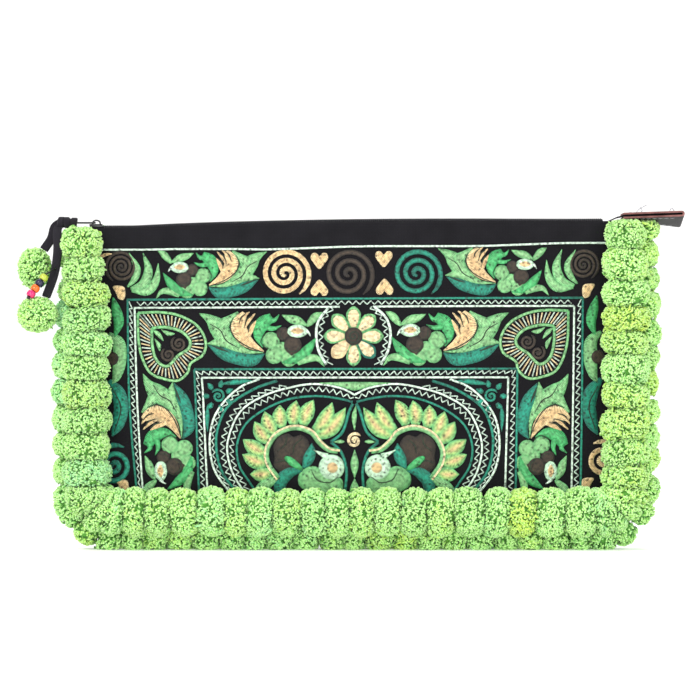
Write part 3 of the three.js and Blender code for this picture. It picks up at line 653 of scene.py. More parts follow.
# Couched cord
# A white cotton cord laid along the seam between panel and band and sewn down with the same thread.
CORD_THICK = 1.3
STITCH_SINK = 0.25
STITCH_THICK = 0.5
STITCH_STEP = 1.3
THINNEST = 0.3
SHEEN_PER_METRE = 620.0
HOLES_PER_METRE = 330.0
GROOVE_STEP = 0.75
CROSS = np.array([-1, -0.86, -0.45, 0, 0.45, 0.86, 1])
DOME = np.array([0, 0.62, 0.92, 1, 0.92, 0.62, 0])
# Each thread's colours at rim, middle and core. Most rims are darker than their cores: painted shade where
# the padded stitches turn down at edges and ends. The petal, beige and cream threads' colours across are
# their own.
THREADS = {
    "mint": ("#5fa065", "#76ab72", "#86b67e"),
    "green": ("#2c8c4e", "#3c9a58", "#51a868"),
    "teal": ("#0d5f50", "#12775f", "#1c8870"),
    "beige": ("#cfb88c", "#cbab7a", "#c7a375"),
    "brown": ("#211a13", "#32281e", "#423528"),
    "white": ("#b9cdbd", "#c9dbcb", "#d0dfd0"),
    "petal": ("#5fa868", "#94b76c", "#cfab7c"),
    "cream": ("#d8c498", "#dbc99f", "#d6bb90"),
    "pale": ("#a9cfae", "#bcd8bd", "#cadfc6"),
    "dark": ("#1c2a20", "#20301f", "#20301f"),
}


def smooth_line(points, step, closed=False, places=2):
    """A Catmull-Rom line through the points. Columns after their places, such as a width, run along."""
    points = np.array(points, float)
    if closed:
        padded = np.concatenate([points[-1:], points, points[:2]])
    else:
        padded = np.concatenate([2 * points[:1] - points[1:2], points, 2 * points[-1:] - points[-2:-1]])
    made = []
    for a, b, c, d in zip(padded, padded[1:], padded[2:], padded[3:]):
        count = max(round(np.linalg.norm((c - b)[:places]) / step), 1)
        t = np.linspace(0, 1, count, endpoint=False)[:, None]
        made.append(b + 0.5 * t * (c - a + t * (2 * a - 5 * b + 4 * c - d + t * (3 * (b - c) + d - a))))
    if not closed:
        made.append(points[-1:])
    return np.concatenate(made)


def evenly(points, count, closed=False):
    """The line's points set at even distances."""
    if closed:
        points = np.concatenate([points, points[:1]])
    run = np.append(0, np.cumsum(np.linalg.norm(np.diff(points[:, :2], axis=0), axis=1)))
    wanted = np.linspace(0, run[-1], count, endpoint=not closed)
    return np.stack([np.interp(wanted, run, column) for column in points.T], -1)


def on_cloth(flat, height):
    """Points in mm that stand a height off the front cloth at x, z."""
    return np.stack([flat[..., 0], cloth_depth(flat[..., 0], flat[..., 1]) - height, flat[..., 1]], -1)


def thread_colours(thread, shares, tone):
    """Linear colours of a thread, from its rim at share 1 to its core at share 0. The darker rims of most
    threads are painted shade.
    """
    rim, middle, core = (np.array(linear(colour)) for colour in THREADS[thread])
    shares = np.asarray(shares)[..., None]
    inner = core + (middle - core) * np.clip(shares / 0.5, 0, 1)
    mixed = inner + (rim - inner) * np.clip((shares - 0.5) / 0.36, 0, 1)
    return mixed * np.array([tone, tone, tone, 1.0])


class Needlework:
    """Stitched shapes that are gathered into one piece."""

    def __init__(self, seed):
        self.rng = np.random.default_rng(seed)
        self.meshes, self.colours, self.run = [], [], []

    def add(self, points, triangles, colours, run):
        """Adds one stitched shape, with the colour and the place along the thread at each point."""
        self.meshes.append((points, facing_out(points, triangles)))
        self.colours.append(colours)
        self.run.append(run)

    def stroke(self, line, thread, lift=0.0):
        """A padded stroke. The line's rows are x, z and width in mm."""
        at, half = line[:, :2], line[:, 2] / 2
        along = unit(np.gradient(at, axis=0))
        across = np.stack([-along[:, 1], along[:, 0]], -1)
        flat = at[:, None] + across[:, None] * (CROSS[:, None] * half[:, None, None])
        rise = lift + DOME * np.minimum(STITCH_THICK, 0.2 + 0.35 * line[:, 2])[:, None]
        rise[:, [0, -1]] = -STITCH_SINK
        points = on_cloth(flat, rise)
        length = np.append(0, np.cumsum(np.linalg.norm(np.diff(at, axis=0), axis=1)))
        # The rim colour at the edges and ends is painted shade where the padding turns down.
        core_shown = np.sin(math.pi * np.clip(length / max(length[-1], 0.1), 0, 1))[:, None] ** 0.5
        shares = 1 - (1 - np.abs(CROSS)) * core_shown
        colours = thread_colours(thread, shares, self.rng.uniform(0.92, 1.06))
        run = np.repeat(length[:, None] + self.rng.uniform(0, 50), len(CROSS), 1)
        rings, sides = len(line), len(CROSS)
        faces = []
        for k in range(sides):
            after = (k + 1) % sides
            a = np.arange(rings - 1) * sides
            faces += [np.stack([a + k, a + after, a + sides + after], -1)]
            faces += [np.stack([a + k, a + sides + after, a + sides + k], -1)]
        last = (rings - 1) * sides
        for k in range(1, sides - 1):
            faces.append(np.array([[0, k + 1, k], [last, last + k, last + k + 1]]))
        self.add(points.reshape(-1, 3), np.concatenate(faces), colours.reshape(-1, 4), run.ravel())

    def patch(self, outline, thread, lift=0.0):
        """A padded patch inside a closed outline of x, z in mm that its own middle can see all of."""
        middle = outline.mean(0)
        shares = np.array([1, 0.9, 0.6, 0.3])
        size = np.linalg.norm(outline - middle, axis=1).mean()
        rise = lift + min(STITCH_THICK * 0.8, 0.2 + 0.5 * size) * np.array([-1, 0.9, 0.97, 1])
        rise[0] = -STITCH_SINK
        flat = middle + (outline - middle) * shares[:, None, None]
        points = np.concatenate([on_cloth(flat[k], rise[k]) for k in range(4)])
        ends = [on_cloth(middle, rise[-1])[None], on_cloth(middle, -STITCH_SINK)[None]]
        points = np.concatenate([points, *ends])
        sides = len(outline)
        k = np.arange(sides)
        after = (k + 1) % sides
        faces = []
        for ring in range(3):
            a, b = ring * sides, (ring + 1) * sides
            faces += [np.stack([a + k, a + after, b + after], -1), np.stack([a + k, b + after, b + k], -1)]
        faces.append(np.stack([3 * sides + k, 3 * sides + after, np.full(sides, 4 * sides)], -1))
        faces.append(np.stack([after, k, np.full(sides, 4 * sides + 1)], -1))
        # The outer rings take the rim colour: painted shade where the patch turns down.
        shown = np.append(np.repeat([1, 0.9, 0.4, 0.5], sides), [0.5, 0])
        colours = thread_colours(thread, shown, self.rng.uniform(0.94, 1.05))
        self.add(points, np.concatenate(faces), colours, points[:, 0] * 0.6 + points[:, 2] * 0.8)

    def sew(self, shapes, origin=(0, 0), scale=1.0, turn=0, mirrored=False):
        """Sews charted shapes at a place. Rows of x, z, width are strokes, rows of x, z closed patches."""
        cos, sin = math.cos(math.radians(turn)), math.sin(math.radians(turn))
        side = -1 if mirrored else 1
        for thread, lift, rows in shapes:
            rows = np.array(rows, float)
            x, z = rows[:, 0] * scale * side, rows[:, 1] * scale
            placed = [origin[0] + x * cos - z * sin, origin[1] + x * sin + z * cos]
            if rows.shape[1] == 3:
                line = np.stack([*placed, rows[:, 2] * scale], -1)
                line = smooth_line(line, STITCH_STEP) if len(line) > 2 else line
                line[:, 2] = np.maximum(line[:, 2], THINNEST)
                self.stroke(line, thread, lift)
            else:
                self.patch(smooth_line(np.stack(placed, -1), STITCH_STEP, closed=True), thread, lift)

    def rows_between(self, one, other, count, threads, width, zigzag=True):
        """Straight stitches from line to line: a zigzag, or single rays in turn in each of the threads."""
        one, other = evenly(one, count), evenly(other, count)
        for k in range(count - 1 if zigzag else count):
            if zigzag:
                a, b = (one[k], other[k + 1]) if k % 2 == 0 else (other[k], one[k + 1])
            else:
                a, b = one[k], other[k]
            stitch = np.array([[*a[:2], width], [*b[:2], width]])
            self.stroke(stitch, threads[k % len(threads)], 0.05)

    def piece(self, name):
        """The shapes as one piece."""
        points, triangles = join_arrays(self.meshes)
        attributes = {"thread": np.concatenate(self.colours), "run": np.concatenate(self.run)}
        piece = mesh_object(name, points, triangles, attributes, rayon_thread)
        finish_piece(piece, "stitched_cotton")
        return piece


def rayon_material():
    """Glossy rayon thread in short satin stitches: fine grooves over each shape with painted shade in them,
    patches of painted sheen, and dark needle holes.
    """
    made, tree, shader = new_material("rayon_satin_stitch")
    colour = add_node(tree, "Attribute", attribute_name="thread").outputs["Color"]
    run = add_node(tree, "Attribute", attribute_name="run").outputs["Fac"]
    place = add_node(tree, "TexCoord").outputs["Object"]
    painted_sheen = add_node(tree, "TexNoise", {"Vector": place, "Scale": SHEEN_PER_METRE, "Detail": 3.0})
    line = add_node(tree, "CombineXYZ", {"X": run}).outputs[0]
    wave = {"Vector": line, "Scale": 2 * math.pi / (20 * GROOVE_STEP), "Distortion": 1.5, "Detail": 1.0}
    grooves = add_node(tree, "TexWave", wave, bands_direction="X").outputs["Fac"]
    both = {0: grooves, 1: 0.4, 2: painted_sheen.outputs["Fac"]}
    relief = add_node(tree, "Math", both, operation="MULTIPLY_ADD").outputs[0]
    # The grooves and the sheen patches also darken and lighten the colour: painted shade and painted sheen.
    shades = {"Value": relief, "From Min": 0.5, "From Max": 0.9, "To Min": 0.35, "To Max": 1.5}
    value = add_node(tree, "MapRange", shades).outputs[0]
    spots = add_node(tree, "TexVoronoi", {"Vector": place, "Scale": HOLES_PER_METRE})
    pricks = {"Value": spots.outputs["Distance"], "From Min": 0.14, "From Max": 0.3, "To Min": 0.3}
    holes = add_node(tree, "MapRange", pricks)
    lit = add_node(tree, "Math", {0: value, 1: holes.outputs[0]}, operation="MULTIPLY").outputs[0]
    coloured = add_node(tree, "HueSaturation", {"Color": colour, "Value": lit})
    bump = add_node(tree, "Bump", {"Height": relief, "Strength": 0.8, "Distance": 0.35 * MM})
    set_inputs(shader, {"Base Color": coloured.outputs["Color"], "Normal": bump.outputs["Normal"]})
    set_inputs(shader, {"Roughness": 0.55, "Specular IOR Level": 0.35, "Sheen Weight": 0.1})
    return made


def disc(x, z, radius, points=10):
    """A round outline."""
    turns = np.linspace(0, 2 * math.pi, points, endpoint=False)
    return np.stack([x + radius * np.cos(turns), z + radius * np.sin(turns)], -1)


def spiral(x, z, radius, pitch, width, turns, start, mirrored=False):
    """A spiral stroke that starts outside at an angle in degrees and winds inwards."""
    angle = np.linspace(0, 2 * math.pi * turns, max(int(24 * turns), 12))
    reach = np.maximum(radius - width / 2 - pitch * angle / (2 * math.pi), 0.1)
    turned = math.radians(start) + angle
    side = -1 if mirrored else 1
    tip, tail = np.clip((angle + 0.15) / 0.6, 0.25, 1), np.clip((angle[-1] + 0.5 - angle) / 0.8, 0.3, 1)
    return np.stack([x + side * reach * np.cos(turned), z + reach * np.sin(turned), width * tip * tail], -1)


seam_x = xs[(xs > -HALF_WIDTH + 1) & (xs < HALF_WIDTH - 1)][::2]
seam_z = []
for x in seam_x:
    i = int(round((x - xs[0]) / (xs[1] - xs[0])))
    panel_top = zs[~np.isnan(panel_depths[i])].max()
    band_low = zs[~np.isnan(band_depths[i])].min()
    seam_z.append((panel_top + band_low) / 2)
seam_z = np.convolve(np.pad(seam_z, 6, mode="edge"), np.full(13, 1 / 13), mode="valid")

rayon_thread = rayon_material()
cord = Needlework(3)
cord.stroke(np.stack([seam_x, seam_z, np.full(len(seam_x), CORD_THICK)], -1), "white", 0.5)
cord.piece("couched_cord")

# Embroidered border strip
# The outer strip of the front: birds with a feather, spirals, hearts and leaves.
BIRD_EYE = [
    (-17.8, 4.2), (-15, 7.3), (-11, 7.9), (-7.4, 6.2), (-6.3, 3.6), (-8.6, 1.4), (-12.6, 0.8),
    (-16, 2),
]
BIRD = [
    (
        "mint",
        0,
        [(5.3, -6.9, 0.4), (15, -6, 3), (24, -1, 9), (29.5, 6.5, 10), (34, 10.8, 5), (39.2, 13.5, 0.4)],
    ),
    ("mint", 0.05, [(18.9, 14.2, 1), (25, 9, 6), (30, 7, 6)]),
    ("mint", 0.05, [(18, -4, 3), (28, -1.6, 5), (35, -2.2, 0.4)]),
    ("teal", 0, [(5, -7.4, 0.5), (10.6, -10.6, 6.5), (17.6, -10, 7.5), (26.5, -7, 7), (34.4, -3, 0.4)]),
    ("dark", 0.3, [(24, -6.4, 0.4), (28, -4.9, 1.3), (32, -3.4, 0.4)]),
    (
        "beige",
        0.15,
        [(5.3, -6.2, 0.5), (12.4, -2.4, 5.5), (17.6, 3, 8.8), (18.2, 8.8, 8.2), (15.3, 13.8, 3)],
    ),
    ("beige", 0.15, [(14, 1.5, 3.2), (11.8, 5.8, 2.8), (9.5, 9.8, 0.5)]),
    ("beige", 0.15, [(16.5, 6, 3), (13.4, 10, 2.6), (9.9, 13.5, 0.5)]),
    ("beige", 0.15, [(18, 9.5, 2.6), (15.8, 12.2, 2.2), (12.8, 14.3, 0.5)]),
    (
        "dark",
        0.42,
        [(6.5, -6.4, 0.5), (14, -3.6, 0.7), (20.4, 0.8, 0.7), (23, 6.6, 0.7), (21.4, 11.4, 0.4)],
    ),
    ("dark", 0.35, [(19, -4.2, 0.4), (25, -0.6, 0.7), (28, 4.6, 0.6), (33.4, 8, 0.4)]),
    ("dark", 0.5, [(11.4, 12.6, 0.4), (14.2, 10.4, 0.9), (15.6, 6.2, 0.4)]),
    ("dark", 0.5, [(14.6, 13.6, 0.4), (17.2, 11.4, 0.9), (18.4, 7.8, 0.4)]),
    ("dark", 0.5, [(10.6, 9.6, 0.4), (12.8, 7.2, 0.9), (13.6, 3.4, 0.4)]),
    ("green", 0.1, [(1.2, 11.5, 5), (6.2, 8.2, 7.6), (8.2, 2, 5.4), (6, -4, 0.6)]),
    ("green", 0.1, [(3.5, 10.5, 4), (0, 10, 2.6), (-2.5, 13, 0.4)]),
    ("green", 0.1, [(5.5, 6.5, 3.5), (0.5, 5.6, 2.6), (-3.6, 7.2, 0.4)]),
    ("mint", 0, disc(-4, -6, 5)),
    ("mint", 0.05, disc(1.8, -0.6, 4.7)),
    ("mint", 0.05, disc(0, -8.2, 4.7)),
    ("mint", 0.05, disc(-7.6, -10, 4.4)),
    ("dark", 0.3, [(5, 3.4, 0.4), (7, -1.4, 0.6), (4.6, -4.6, 0.4)]),
    ("green", 0.1, [(-21.9, 1.1, 0.4), (-17.8, -4.7, 5), (-13.5, -9, 6), (-8, -11.2, 4), (-4, -12, 0.6)]),
    ("mint", 0.05, [(-26, -14, 0.4), (-22.6, -10, 3.2), (-18, -9.8, 4.4), (-12, -12.2, 3)]),
    ("brown", 0.2, disc(-4.6, 2.8, 3.7)),
    ("brown", 0.2, disc(-9.5, -3.1, 4.9)),
    ("brown", 0.2, [(-9.5, -5, 6), (-8.9, -7.2, 3), (-8.7, -8.4, 0.5)]),
    ("dark", 0.45, [(-13, -3.4, 0.4), (-11.4, -6, 0.7), (-8, -6.2, 0.7), (-5.8, -3.4, 0.4)]),
    ("dark", 0.45, [(-5.4, -0.6, 0.4), (-3, 1.4, 0.6), (-3, 4.6, 0.4)]),
    ("mint", 0.05, [(-24.8, 14.1, 0.4), (-21.5, 12, 4.3), (-18.2, 8.3, 3.2), (-16.9, 6.5, 0.5)]),
    ("mint", 0.1, [(-16.8, 7.3, 1.2), (-12.4, 9.6, 4.6), (-8.2, 10.8, 4.2), (-3.9, 12.7, 0.4)]),
    ("pale", 0.25, BIRD_EYE),
    ("white", 0.25, [(-16.6, 4.6, 2), (-18, 3.2, 1.2), (-18.8, 1.6, 0.4)]),
    ("beige", 0.45, [(-15.2, 4.3, 1.2), (-12, 4.5, 4), (-8.8, 4.4, 1.2)]),
    ("brown", 0.6, disc(-13.4, 4.9, 0.35, 5)),
    ("brown", 0.6, disc(-10.7, 4.6, 0.35, 5)),
]
CRESCENTS = [
    (
        "mint",
        0.05,
        [(-134.7, 155.2, 1.2), (-130.5, 159.9, 4.1), (-129.1, 166.4, 4.4), (-133.7, 175.2, 0.4)],
    ),
    ("mint", 0.1, [(-132.9, 154.1, 1.8), (-125.2, 157, 5.9), (-122.3, 165.2, 5.3), (-125.5, 175.2, 0.4)]),
    ("mint", 0.15, [(-132.3, 152.9, 1.8), (-122.9, 152.9, 5.9), (-117.6, 159.3, 4.7), (-116.4, 169, 0.4)]),
]
HEART = [
    (0, -4.8), (3.4, -1.2), (5.4, 2), (4.4, 4.8), (1.8, 5), (0, 2.8), (-1.8, 5), (-4.4, 4.8),
    (-5.4, 2), (-3.4, -1.2),
]
HALF_HEART = [(-4.2, 3.6), (-1.4, 4.4), (3, 3.4), (3.8, -1), (2.6, -4.4), (-0.6, -3.6), (-2, -0.4)]
SPIRAL_PITCH = 5.0
SPIRAL_BAND = 3.1

border = Needlework(11)
border.sew(BIRD, origin=(-91.7, 162.3))
border.sew(BIRD, origin=(87.5, 164.1), mirrored=True)
border.sew(CRESCENTS)
border.sew(CRESCENTS, origin=(-4.2, 2), mirrored=True)
for x, z, thread in [(-41.7, 162.9, "beige"), (-4.4, 162.7, "brown"), (35.7, 163, "teal")]:
    border.stroke(spiral(x, z, 16.4, SPIRAL_PITCH, SPIRAL_BAND, 2.9, -55), thread, 0.05)
for x, z, turn in [(-21.5, 170.2, 0), (16.4, 171.2, 0), (-21.5, 154.8, 180), (16.8, 155.4, 180)]:
    border.sew([("beige", 0.05, HEART)], origin=(x, z), turn=turn)
border.stroke(spiral(-138.4, 167, 10.6, 2.6, 2.0, 3.9, -60, mirrored=True), "brown", 0.05)
border.stroke(spiral(134.2, 168.3, 10.2, 2.6, 2.0, 3.8, -60), "brown", 0.05)
border.sew([("beige", 0.05, HALF_HEART)], origin=(-139.6, 151.8))
border.sew([("beige", 0.05, HALF_HEART)], origin=(137, 153), mirrored=True)
border.sew([("beige", 0.05, [(-151, 173, 2.5), (-147, 174.4, 1.8), (-143.8, 174.6, 0.5)])])

# The strips beside the outer frame are half under the pompoms.
SIDE_BITS = [
    ("green", 0.05, [(-143.4, 149, 1), (-141.6, 142, 6), (-140, 134, 6.5), (-142.5, 125.4, 1)]),
    ("mint", 0.05, [(-146, 128, 2), (-140, 122, 8), (-139.5, 112, 9), (-141, 103, 6), (-144, 97.5, 1)]),
    ("brown", 0.2, disc(-143.9, 112.9, 4.4)),
    ("teal", 0.05, [(-146, 100, 3), (-140.5, 93, 9), (-138.4, 84, 9.5), (-140.5, 74, 8), (-144, 67, 1)]),
    ("dark", 0.4, [(-144, 96, 0.5), (-138.6, 84, 0.9), (-142.5, 70, 0.5)]),
    ("beige", 0.05, np.array(HALF_HEART) + [-137.8, 37.5]),
]
border.sew(SIDE_BITS)
border.sew(SIDE_BITS, origin=(-1.2, 1), mirrored=True)
border.stroke(spiral(-142.9, 50, 14, 5.2, 3.4, 2.4, 60), "teal", 0.05)
border.stroke(spiral(145.6, 53.3, 12.6, 5, 3.3, 2.2, 60, mirrored=True), "beige", 0.05)
border.piece("stitched_border")

# Embroidered frames
# Two frames, each of a teal and a white line with a white zigzag between, and arches in the inner one.
TEAL_LINE = 1.5
WHITE_LINE = 1.3
ZIGZAG_THREAD = 0.7
ZIGZAG_PITCH = 4.3
ZIGZAG_REACH = 2.9
FRAME_FOOT = 29


def sew_line(work, points, thread, width, lift=0.05):
    """Sews a smooth line of one width through the points."""
    work.sew([(thread, lift, [(x, z, width) for x, z in points])])


def zigzag(work, one, other, inset=1.3):
    """A zigzag of single stitches that keeps an inset off both lines."""
    lines = [smooth_line([(x, z, 0.0) for x, z in line], 2.0) for line in (one, other)]
    one, other = (evenly(line, 60) for line in lines)
    apart = np.linalg.norm(other - one, axis=1, keepdims=True)
    inward = (other - one) / apart
    near = one + inward * inset
    far = near + inward * np.clip(apart - 2 * inset, 1.2, ZIGZAG_REACH)
    length = np.linalg.norm(np.diff(near[:, :2], axis=0), axis=1).sum()
    work.rows_between(near, far, 2 * int(length / ZIGZAG_PITCH) + 2, ["white"], ZIGZAG_THREAD)


def both_sides(points, axis):
    """A line and its mirror image about an upright axis."""
    return points, [(2 * axis - x, z) for x, z in points]


frames = Needlework(12)
sew_line(frames, [(-135.2, 147.6), (0, 148.2), (133.8, 148.8)], "teal", TEAL_LINE)
sew_line(frames, [(-131, 142.8), (-70, 143), (-9.4, 143.4)], "white", WHITE_LINE)
sew_line(frames, [(10, 143.5), (70, 143.8), (128.4, 144)], "white", WHITE_LINE)
zigzag(frames, [(-129, 147.6), (0, 148.2), (127, 148.8)], [(-129, 142.8), (0, 143.4), (127, 144)])
SIDES = [
    (
        [(-134.7, 147.6), (-133.6, 89), (-129.7, 37.6), (-128.8, FRAME_FOOT)],
        [(-130.5, 142.8), (-128.9, 89), (-126, 37.6), (-125, FRAME_FOOT)],
    ),
    (
        [(133.8, 148.8), (133.2, 89), (132.6, FRAME_FOOT)],
        [(128.6, 144), (127.9, 89), (127.2, FRAME_FOOT)],
    ),
    ([(-95, 106.7), (0, 106.9), (94.7, 107)], [(-90.9, 101.7), (0, 101.9), (89.4, 102)]),
    (
        [(-95, 106.7), (-94.2, 89), (-92.6, 36), (-92.2, FRAME_FOOT)],
        [(-90.5, 101.7), (-89.7, 89), (-87.6, 36), (-87.2, FRAME_FOOT)],
    ),
    (
        [(94.7, 107), (94.6, 89), (94.1, FRAME_FOOT)],
        [(89.4, 102), (88.6, 70), (87.8, FRAME_FOOT)],
    ),
]
for teal, white in SIDES:
    sew_line(frames, teal, "teal", TEAL_LINE)
    sew_line(frames, white, "white", WHITE_LINE)
    zigzag(frames, teal, white)
ARCH_AXIS = -0.8
ARCHES = {
    "white": [
        (-0.9, 91.7), (7.8, 95.8), (22.8, 98.1), (37.8, 95.8), (52.8, 91), (66.5, 81.5), (73.8, 64),
        (72.2, 49), (66, 37), (59, FRAME_FOOT),
    ],
    "inner": [
        (0.3, 87.6), (10, 89.8), (22.8, 91), (37.8, 89.1), (52.8, 82.7), (63.5, 74), (68.3, 62),
        (67, 50), (61, 40), (54, FRAME_FOOT),
    ],
    "outer": [
        (44.6, 100), (58, 95.2), (72.9, 85.5), (79, 74), (80.6, 61.7), (77.6, 47), (69.5, 35.3),
        (63, FRAME_FOOT),
    ],
    "last": [
        (55, 101), (66, 96.4), (76, 87.4), (82.4, 76.4), (84.4, 61.6), (81.8, 47.6), (75, 37),
        (68, FRAME_FOOT),
    ],
}
for side in (0, 1):
    arch = {name: both_sides(points, ARCH_AXIS)[side] for name, points in ARCHES.items()}
    sew_line(frames, arch["white"], "white", WHITE_LINE)
    sew_line(frames, arch["inner"], "teal", TEAL_LINE)
    sew_line(frames, arch["outer"], "teal", 1.8)
    sew_line(frames, arch["last"], "white", 1.4)
    zigzag(frames, arch["white"], arch["inner"], 1.5)
    zigzag(frames, arch["white"][3:], arch["outer"], 1.3)
    zigzag(frames, arch["last"][1:], arch["outer"][1:], 1.1)
frames.piece("stitched_frames")

# Embroidered birds and hearts
# The strip between the frames: a flower in a roundel, two large hearts and four more birds.
HEART_OUTLINE = [
    (-128.5, 139.8), (-116.1, 140.2), (-104.7, 138.5), (-93.8, 132.7), (-88.4, 123.7),
    (-89.7, 115.4), (-97.1, 110.1), (-98.8, 104.7), (-104.7, 100.1), (-112.9, 101), (-121.1, 104.7),
    (-126, 113.8), (-128.1, 124.5), (-128.5, 139.8),
]
HEART_INSIDE = [
    (-120.2, 130.7), (-112.9, 131.5), (-102.9, 129), (-97.6, 123.7), (-98.4, 118.8), (-104.5, 114.7),
    (-111.1, 108.4), (-117.3, 112.1), (-119.8, 120.4), (-120.2, 130.7),
]
HEART_LEAVES = [
    ("mint", 0.05, [(-119.4, 129.6, 0.5), (-116.4, 127.4, 3), (-113.2, 123.4, 0.6)]),
    ("mint", 0.05, [(-114.5, 130, 0.5), (-110.3, 127.6, 2.8), (-106.5, 127.6, 0.6)]),
    ("mint", 0.05, [(-118.4, 124.6, 0.5), (-115.9, 120.6, 2.8), (-115.4, 117.4, 0.6)]),
]
HEART_RAYS = 52

middle = Needlework(13)
for origin, mirrored in [((0, 0), False), ((-3.4, 1.3), True)]:
    side = -1 if mirrored else 1
    outer, inner = (np.array(line, float) * [side, 1] + origin for line in (HEART_OUTLINE, HEART_INSIDE))
    sew_line(middle, outer, "mint", 1.7)
    sew_line(middle, inner, "mint", 1.9)
    outer, inner = (evenly(smooth_line(line, 1.0), HEART_RAYS) for line in (outer, inner))
    inward = unit(inner - outer)
    ray_from, ray_to = outer + inward * 1.3, inner - inward * 1.2
    middle.rows_between(ray_from, ray_to, HEART_RAYS, ["beige", "white"], 0.85, zigzag=False)
    middle.sew(HEART_LEAVES, origin=origin, mirrored=mirrored)
    for x, z, radius in [(-104.1, 121.6, 5.5), (-110.3, 115.2, 5.1)]:
        place = (x * side + origin[0], z + origin[1])
        middle.stroke(spiral(*place, radius, 2.3, 1.8, 2.3, 120, mirrored=mirrored), "brown", 0.1)

ROSETTE = (-1.4, 126.1)
for turn in range(0, 360, 45):
    rim = "teal" if turn == 315 else "beige" if turn == 225 else "mint"
    petal = [(0, 5, 4.4), (0, 9.4, 8.2), (0, 13.6, 9.2), (0, 16.6, 4.5), (0, 17.6, 1)]
    heart = [(0, 5.4, 3.2), (0, 9.4, 6.4), (0, 13, 7), (0, 15.6, 3.2)]
    middle.sew([(rim, 0, petal), ("cream", 0.25, heart)], origin=ROSETTE, turn=turn - 90)
middle.sew([("brown", 0.3, disc(0, 0, 5.7, 14))], origin=ROSETTE)
middle.stroke(spiral(*ROSETTE, 4.6, 2.2, 0.9, 1.8, 200), "dark", 0.62)
ROUNDEL = {
    "left": [(-15.9, 143.1), (-21.8, 135.4), (-23.3, 127.6), (-22, 118), (-17.4, 109.4)],
    "right": [(10.6, 143.6), (17.4, 137.2), (20.2, 128.6), (19, 118.4), (14.6, 109.4)],
}
for name, inset in (("left", 3.4), ("right", -3.4)):
    line = ROUNDEL[name]
    sew_line(middle, line, "white", 1.7)
    zigzag(middle, [(x + inset * 0.2, z) for x, z in line], [(x + inset * 1.3, z) for x, z in line], 0.5)
middle.sew(BIRD, origin=(-47.9, 124.2), scale=1.13, mirrored=True)
middle.sew(BIRD, origin=(45.4, 124.7), scale=1.13)
middle.sew(BIRD, origin=(-110.2, 60.1), scale=1.12, turn=90)
middle.sew(BIRD, origin=(109.9, 60.1), scale=1.12, turn=-90, mirrored=True)
middle.piece("stitched_birds")

# Embroidered centre
# Two fans of petals face each other inside the arches, each over a brown flower, with an ogee between them.
PETAL_TIPS = [
    (4.4, 84.3), (12.3, 87.3), (23.2, 88.8), (33.3, 88.4), (43, 85.8), (52, 82), (58, 76),
    (64.8, 65.6), (65.2, 56.6), (60.7, 44.9),
]
PETAL_BASES = [
    (21.3, 67), (22.8, 70.8), (29.2, 73.8), (34.8, 74.1), (41.6, 72.7), (46, 68.6), (49, 64),
    (51.3, 57.3), (50.9, 51.3), (48.3, 46),
]
PETAL_WIDTH = 9.6
PETAL_BEND = 0.12
FAN_BAND = [
    (9, 58.8), (14.5, 59.6), (19.8, 64), (25, 70), (34.8, 72.6), (45.3, 68.4), (50.8, 59.6),
    (50.2, 51.3), (44.5, 42.5),
]
FLOWER = [
    (25.4, 59.5), (26, 64.8), (30, 68.6), (35, 67.4), (38.6, 69.4), (44, 67.6), (47.2, 62),
    (46.6, 55), (47, 49.4), (42.6, 45.6), (37, 47), (31, 49.6),
]
FAN = [
    ("brown", 0.05, FLOWER),
    ("dark", 0.5, [(30, 66, 0.4), (34.6, 62, 0.8), (35.4, 57, 0.4)]),
    ("dark", 0.5, [(39, 68, 0.4), (40, 62.6, 0.8), (44.6, 58.4, 0.4)]),
    ("dark", 0.5, [(46, 51.6, 0.4), (41, 53, 0.8), (38, 51, 0.4)]),
    ("teal", 0.2, [(24.3, 63.2, 0.6), (24.9, 58, 6.4), (27, 52.6, 6.8), (29.4, 48.4, 1.4)]),
    ("green", 0.35, [(30, 47.6, 2), (34, 50.6, 4.6), (38, 53.6, 4.6), (40.2, 55.2, 1.6)]),
    ("teal", 0.15, [(30, 47, 1), (37, 46, 7), (42, 41.6, 8.2), (43.4, 36, 7), (43, 31, 3)]),
    (
        "mint",
        0.1,
        [(5.4, 38.6), (7, 42.6), (14, 45), (22.8, 50), (29.6, 48.4), (33, 43)]
        + [(31, 36.6), (20, 32), (7, 32)],
    ),
    ("dark", 0.5, [(9, 43.4, 0.4), (14, 40, 0.7), (21.4, 41.6, 0.7), (24.8, 47.8, 0.4)]),
    ("mint", 0.1, [(42, 43, 1), (48.6, 40.6, 6), (54, 37, 6.4), (60, 32.4, 0.6)]),
    ("pale", 0.35, disc(12.7, 49, 7.9, 16)),
    ("pale", 0.35, [(15.4, 55.4, 4.4), (19, 57, 2.4), (23.4, 59.4, 0.4)]),
    ("beige", 0.62, disc(12.2, 48.8, 3.5, 10)),
]
SEEDS = 11
OGEE = [(0.2, 86.6), (2.6, 81.3), (6.3, 70), (13.1, 64)]
OGEE_FOOT = [(13.1, 64), (7.1, 58), (4.1, 48.3), (4.4, 38), (5.4, FRAME_FOOT)]
SUN = (79.3, 90.9)
SUN_PETALS = 7
SUN_PETAL = [(5.2, 2), (7.4, 3.6), (9.8, 0.5)]
DIAMOND = [("mint", 0.1, [(5.2, 64.2, 0.5), (7.4, 64.2, 2.6), (11.4, 64, 0.4)])]
CORNER_LEAVES = [
    ("teal", 0.1, [(59, 100, 0.5), (66, 99.6, 3.4), (73, 98.6, 2.6), (77.5, 98, 0.5)]),
    ("teal", 0.1, [(85.4, 86, 0.5), (85.8, 79, 3), (85.6, 70, 0.5)]),
]

